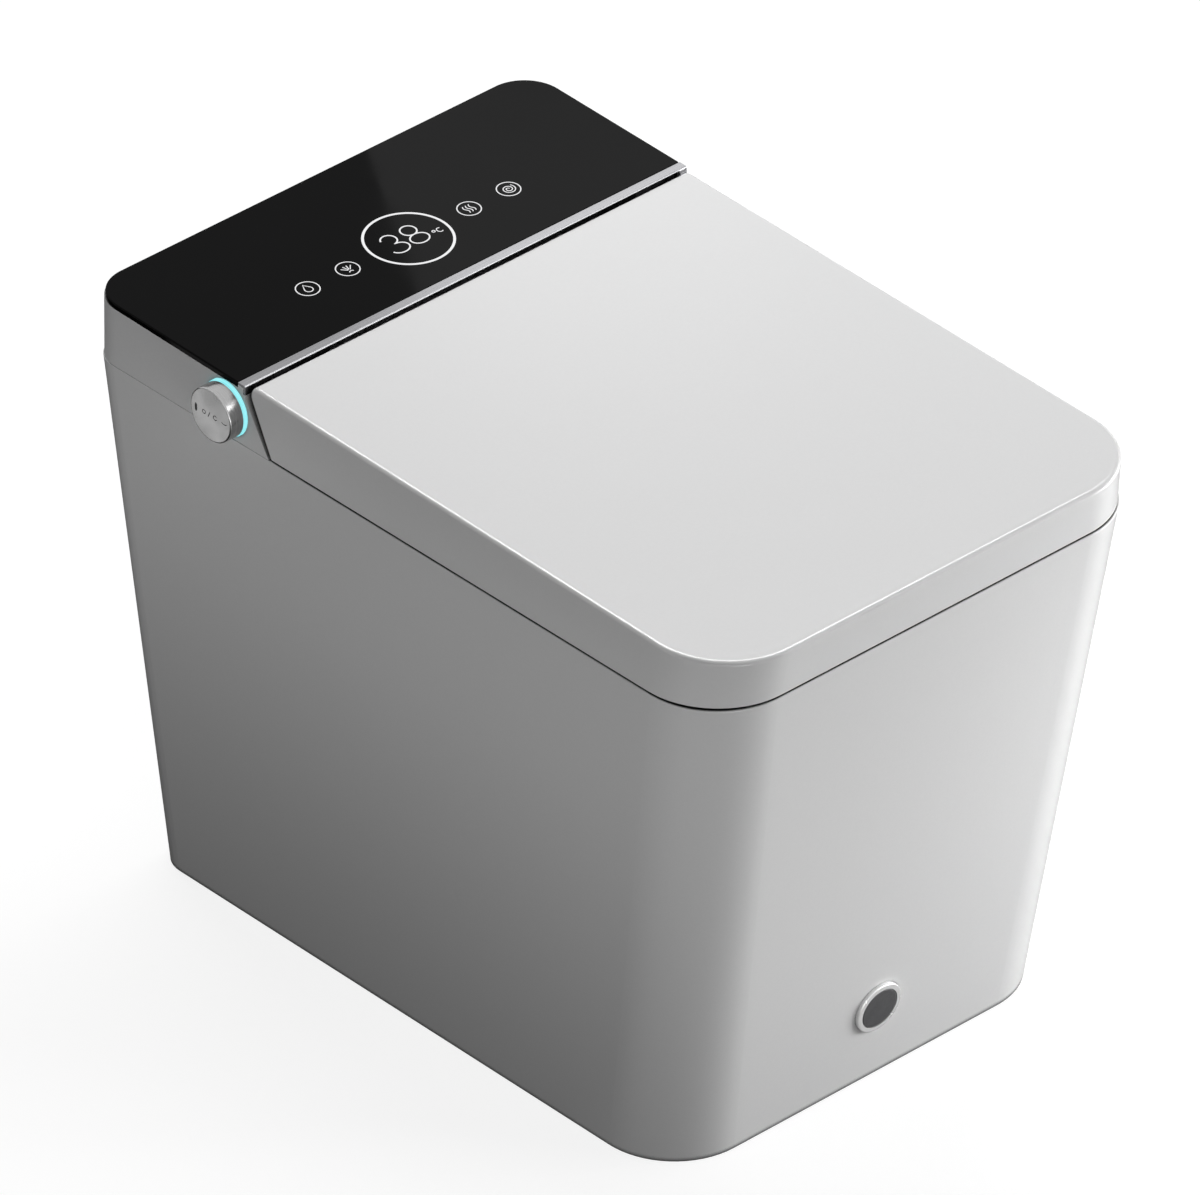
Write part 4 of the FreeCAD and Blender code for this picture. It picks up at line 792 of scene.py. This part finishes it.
def floor_material():
    material = bpy.data.materials.new("studio_floor")
    material.use_nodes = True
    tree = material.node_tree
    tree.nodes.clear()
    path = tree.nodes.new("ShaderNodeLightPath")
    pale = tree.nodes.new("ShaderNodeBsdfDiffuse")
    pale.inputs["Color"].default_value = seen_grey
    white = tree.nodes.new("ShaderNodeEmission")
    white.inputs["Color"].default_value = seen_glow
    seen = tree.nodes.new("ShaderNodeAddShader")
    dim = tree.nodes.new("ShaderNodeBsdfDiffuse")
    dim.inputs["Color"].default_value = unseen_grey
    place = tree.nodes.new("ShaderNodeTexCoord")
    axes = tree.nodes.new("ShaderNodeSeparateXYZ")
    mirrored = tree.nodes.new("ShaderNodeMath")
    mirrored.operation = "MULTIPLY"
    lit = tree.nodes.new("ShaderNodeEmission")
    unseen = tree.nodes.new("ShaderNodeAddShader")
    choose = tree.nodes.new("ShaderNodeMixShader")
    result = tree.nodes.new("ShaderNodeOutputMaterial")
    spread(material, axes.outputs["Y"], (mirrored_from_y, mirrored_to_y), (0.0, mirrored_glow),
           mirrored.inputs[0])
    wire(tree, (
        (place.outputs["Object"], axes.inputs["Vector"]),
        (path.outputs["Is Glossy Ray"], mirrored.inputs[1]),
        (mirrored.outputs["Value"], lit.inputs["Strength"]),
        (dim.outputs[0], unseen.inputs[0]),
        (lit.outputs[0], unseen.inputs[1]),
        (pale.outputs[0], seen.inputs[0]),
        (white.outputs[0], seen.inputs[1]),
        (path.outputs["Is Camera Ray"], choose.inputs[0]),
        (unseen.outputs[0], choose.inputs[1]),
        (seen.outputs[0], choose.inputs[2]),
        (choose.outputs[0], result.inputs["Surface"]),
    ))
    return material


# %% Floor
floor_half = 5.0
floor_mesh = bpy.data.meshes.new("floor")
corners = [(x * floor_half, y * floor_half, 0) for x, y in ((-1, -1), (1, -1), (1, 1), (-1, 1))]
floor_mesh.from_pydata(corners, [], [(0, 1, 2, 3)])
floor = bpy.data.objects.new("floor", floor_mesh)
bpy.context.scene.collection.objects.link(floor)
floor.data.materials.append(floor_material())
print("floor is", 2 * floor_half, "m wide")


# %% [markdown]
# The world is white where the camera, a reflection or a clear piece looks at it, as a white backdrop would be.
# To everything else it gives only a little soft light, because a white room all round would leave no shade.

# %% World
def studio_world(soft_light):
    world = bpy.data.worlds.new("studio")
    world.use_nodes = True
    tree = world.node_tree
    background = tree.nodes["Background"]
    background.inputs["Color"].default_value = (1, 1, 1, 1)
    path = tree.nodes.new("ShaderNodeLightPath")
    seen = tree.nodes.new("ShaderNodeMath")
    seen.operation = "MAXIMUM"
    seen_or_through = tree.nodes.new("ShaderNodeMath")
    seen_or_through.operation = "MAXIMUM"
    level = tree.nodes.new("ShaderNodeMapRange")
    level.inputs["To Min"].default_value = soft_light
    level.inputs["To Max"].default_value = 1.0
    wire(tree, (
        (path.outputs["Is Camera Ray"], seen.inputs[0]),
        (path.outputs["Is Glossy Ray"], seen.inputs[1]),
        (seen.outputs[0], seen_or_through.inputs[0]),
        (path.outputs["Is Transmission Ray"], seen_or_through.inputs[1]),
        (seen_or_through.outputs[0], level.inputs["Value"]),
        (level.outputs[0], background.inputs["Strength"]),
    ))
    bpy.context.scene.world = world
    print("soft light from the sky:", soft_light)


studio_world(0.09)


# %% [markdown]
# A large soft lamp stands at the front right and lights front and top. Two more, close by on the right, make
# the front brighter towards its right edge, and a weak one lifts the near corner. A long strip level with the
# rim grazes the left side, so that its light fades towards the floor. A narrow strip overhead lights the lid.
# One big lamp could light all of this, but not with a different fall of light on each side. The camera sees
# none of them.

# %% Lamps
def soft_lamp(name, place, aim, size, watts, turn=0.0):
    light = bpy.data.lights.new(name, "AREA")
    light.shape = "RECTANGLE"
    light.size, light.size_y = size
    light.energy = watts
    lamp = bpy.data.objects.new(name, light)
    lamp.location = place
    facing = (Vector(aim) - Vector(place)).to_track_quat("-Z", "Y").to_matrix()
    lamp.rotation_euler = (facing @ Matrix.Rotation(math.radians(turn), 3, "Z")).to_euler()
    lamp.visible_camera = False
    bpy.context.scene.collection.objects.link(lamp)
    print(name, "at", place, "watts", watts)
    return lamp


lid_middle = (0.0, 0.0, 0.42)
soft_lamp("front_right_lamp", place=(1.9, -2.5, 1.7), aim=(0.0, 0.0, 0.2), size=(1.6, 1.6), watts=34)
soft_lamp("right_lamp", place=(0.72, -0.68, 0.06), aim=(0.15, -0.28, 0.14), size=(0.4, 0.4), watts=6.1)
soft_lamp("edge_lamp", place=(1.05, -0.48, 0.20), aim=(0.19, -0.25, 0.20), size=(0.4, 0.4), watts=5.2)
soft_lamp("corner_lamp", place=(-0.62, -1.25, 0.06), aim=(-0.2, -0.3, 0.12), size=(0.4, 0.4), watts=3.2)
soft_lamp("left_strip", place=(-0.56, 0.0, 0.37), aim=(-0.2, 0.0, 0.36), size=(1.5, 0.06), watts=0.77)
overhead_strip = soft_lamp(
    "overhead_strip", place=(0.65, 0.74, 2.40), aim=lid_middle, size=(2.0, 0.15), watts=38)
overhead_strip.visible_glossy = False


# %% [markdown]
# Some lamps are there for what they look like in a mirror. A wide strip draws the bright line along the lid's
# round edge, and a weaker one does so on the trim. They show only as reflections and only on their own piece,
# so they can be tuned without changing the light elsewhere. One card at the rear right is what the right half
# of the black glass reflects, and another is what the knob's end reflects.

# %% Strips and cards for reflections
def mirror_only(lamp, node):
    """Lets a lamp show only as a reflection, and only on one CAD piece."""
    lamp.visible_diffuse = False
    shown_on = bpy.data.collections.new(lamp.name + "_shown_on")
    shown_on.objects.link(nodes[node])
    lamp.light_linking.receiver_collection = shown_on


strip_place = (0.66, 0.75, 2.43)
lid_edge_strip = soft_lamp("lid_edge_strip", strip_place, lid_middle, size=(2.4, 1.0), watts=130)
trim_edge_strip = soft_lamp("trim_edge_strip", strip_place, lid_middle, size=(2.4, 0.6), watts=22)
mirror_only(lid_edge_strip, "lid_shell")
mirror_only(trim_edge_strip, "trim_strip")
soft_lamp("glass_card", place=(1.0, 1.078, 1.328), aim=(1.0, 1.078, 0.0), size=(0.30, 0.38), watts=0.50,
          turn=-30.8)
soft_lamp("knob_card", place=(-0.546, 0.519, 0.09), aim=(-0.21, 0.154, 0.427), size=(0.12, 0.12), watts=0.05)


# %% [markdown]
# The camera looks from the front left and above, with a very long lens. That keeps parallel edges almost
# parallel, as they are in the photograph. Its place is worked out from two angles and a distance, which are
# easier to fit than three coordinates.

# %% Camera
camera_azimuth = math.radians(-42.6)
camera_elevation = math.radians(34.13)
camera_distance = 12.0
picture_width = 0.8067
sensor_width = 36.0
look_at = Vector((0, 0.0048, 0.2566))

camera_data = bpy.data.cameras.new("camera")
camera_data.sensor_width = sensor_width
camera_data.lens = sensor_width * camera_distance / picture_width
camera = bpy.data.objects.new("camera", camera_data)
level = math.cos(camera_elevation)
back = Vector((math.sin(camera_azimuth) * level, -math.cos(camera_azimuth) * level,
               math.sin(camera_elevation)))
camera.location = look_at + back * camera_distance
camera.rotation_euler = (-back).to_track_quat("-Z", "Y").to_euler()
bpy.context.scene.collection.objects.link(camera)
bpy.context.scene.camera = camera
bpy.context.scene.view_settings.view_transform = "Standard"
print("lens in mm:", round(camera_data.lens, 1))
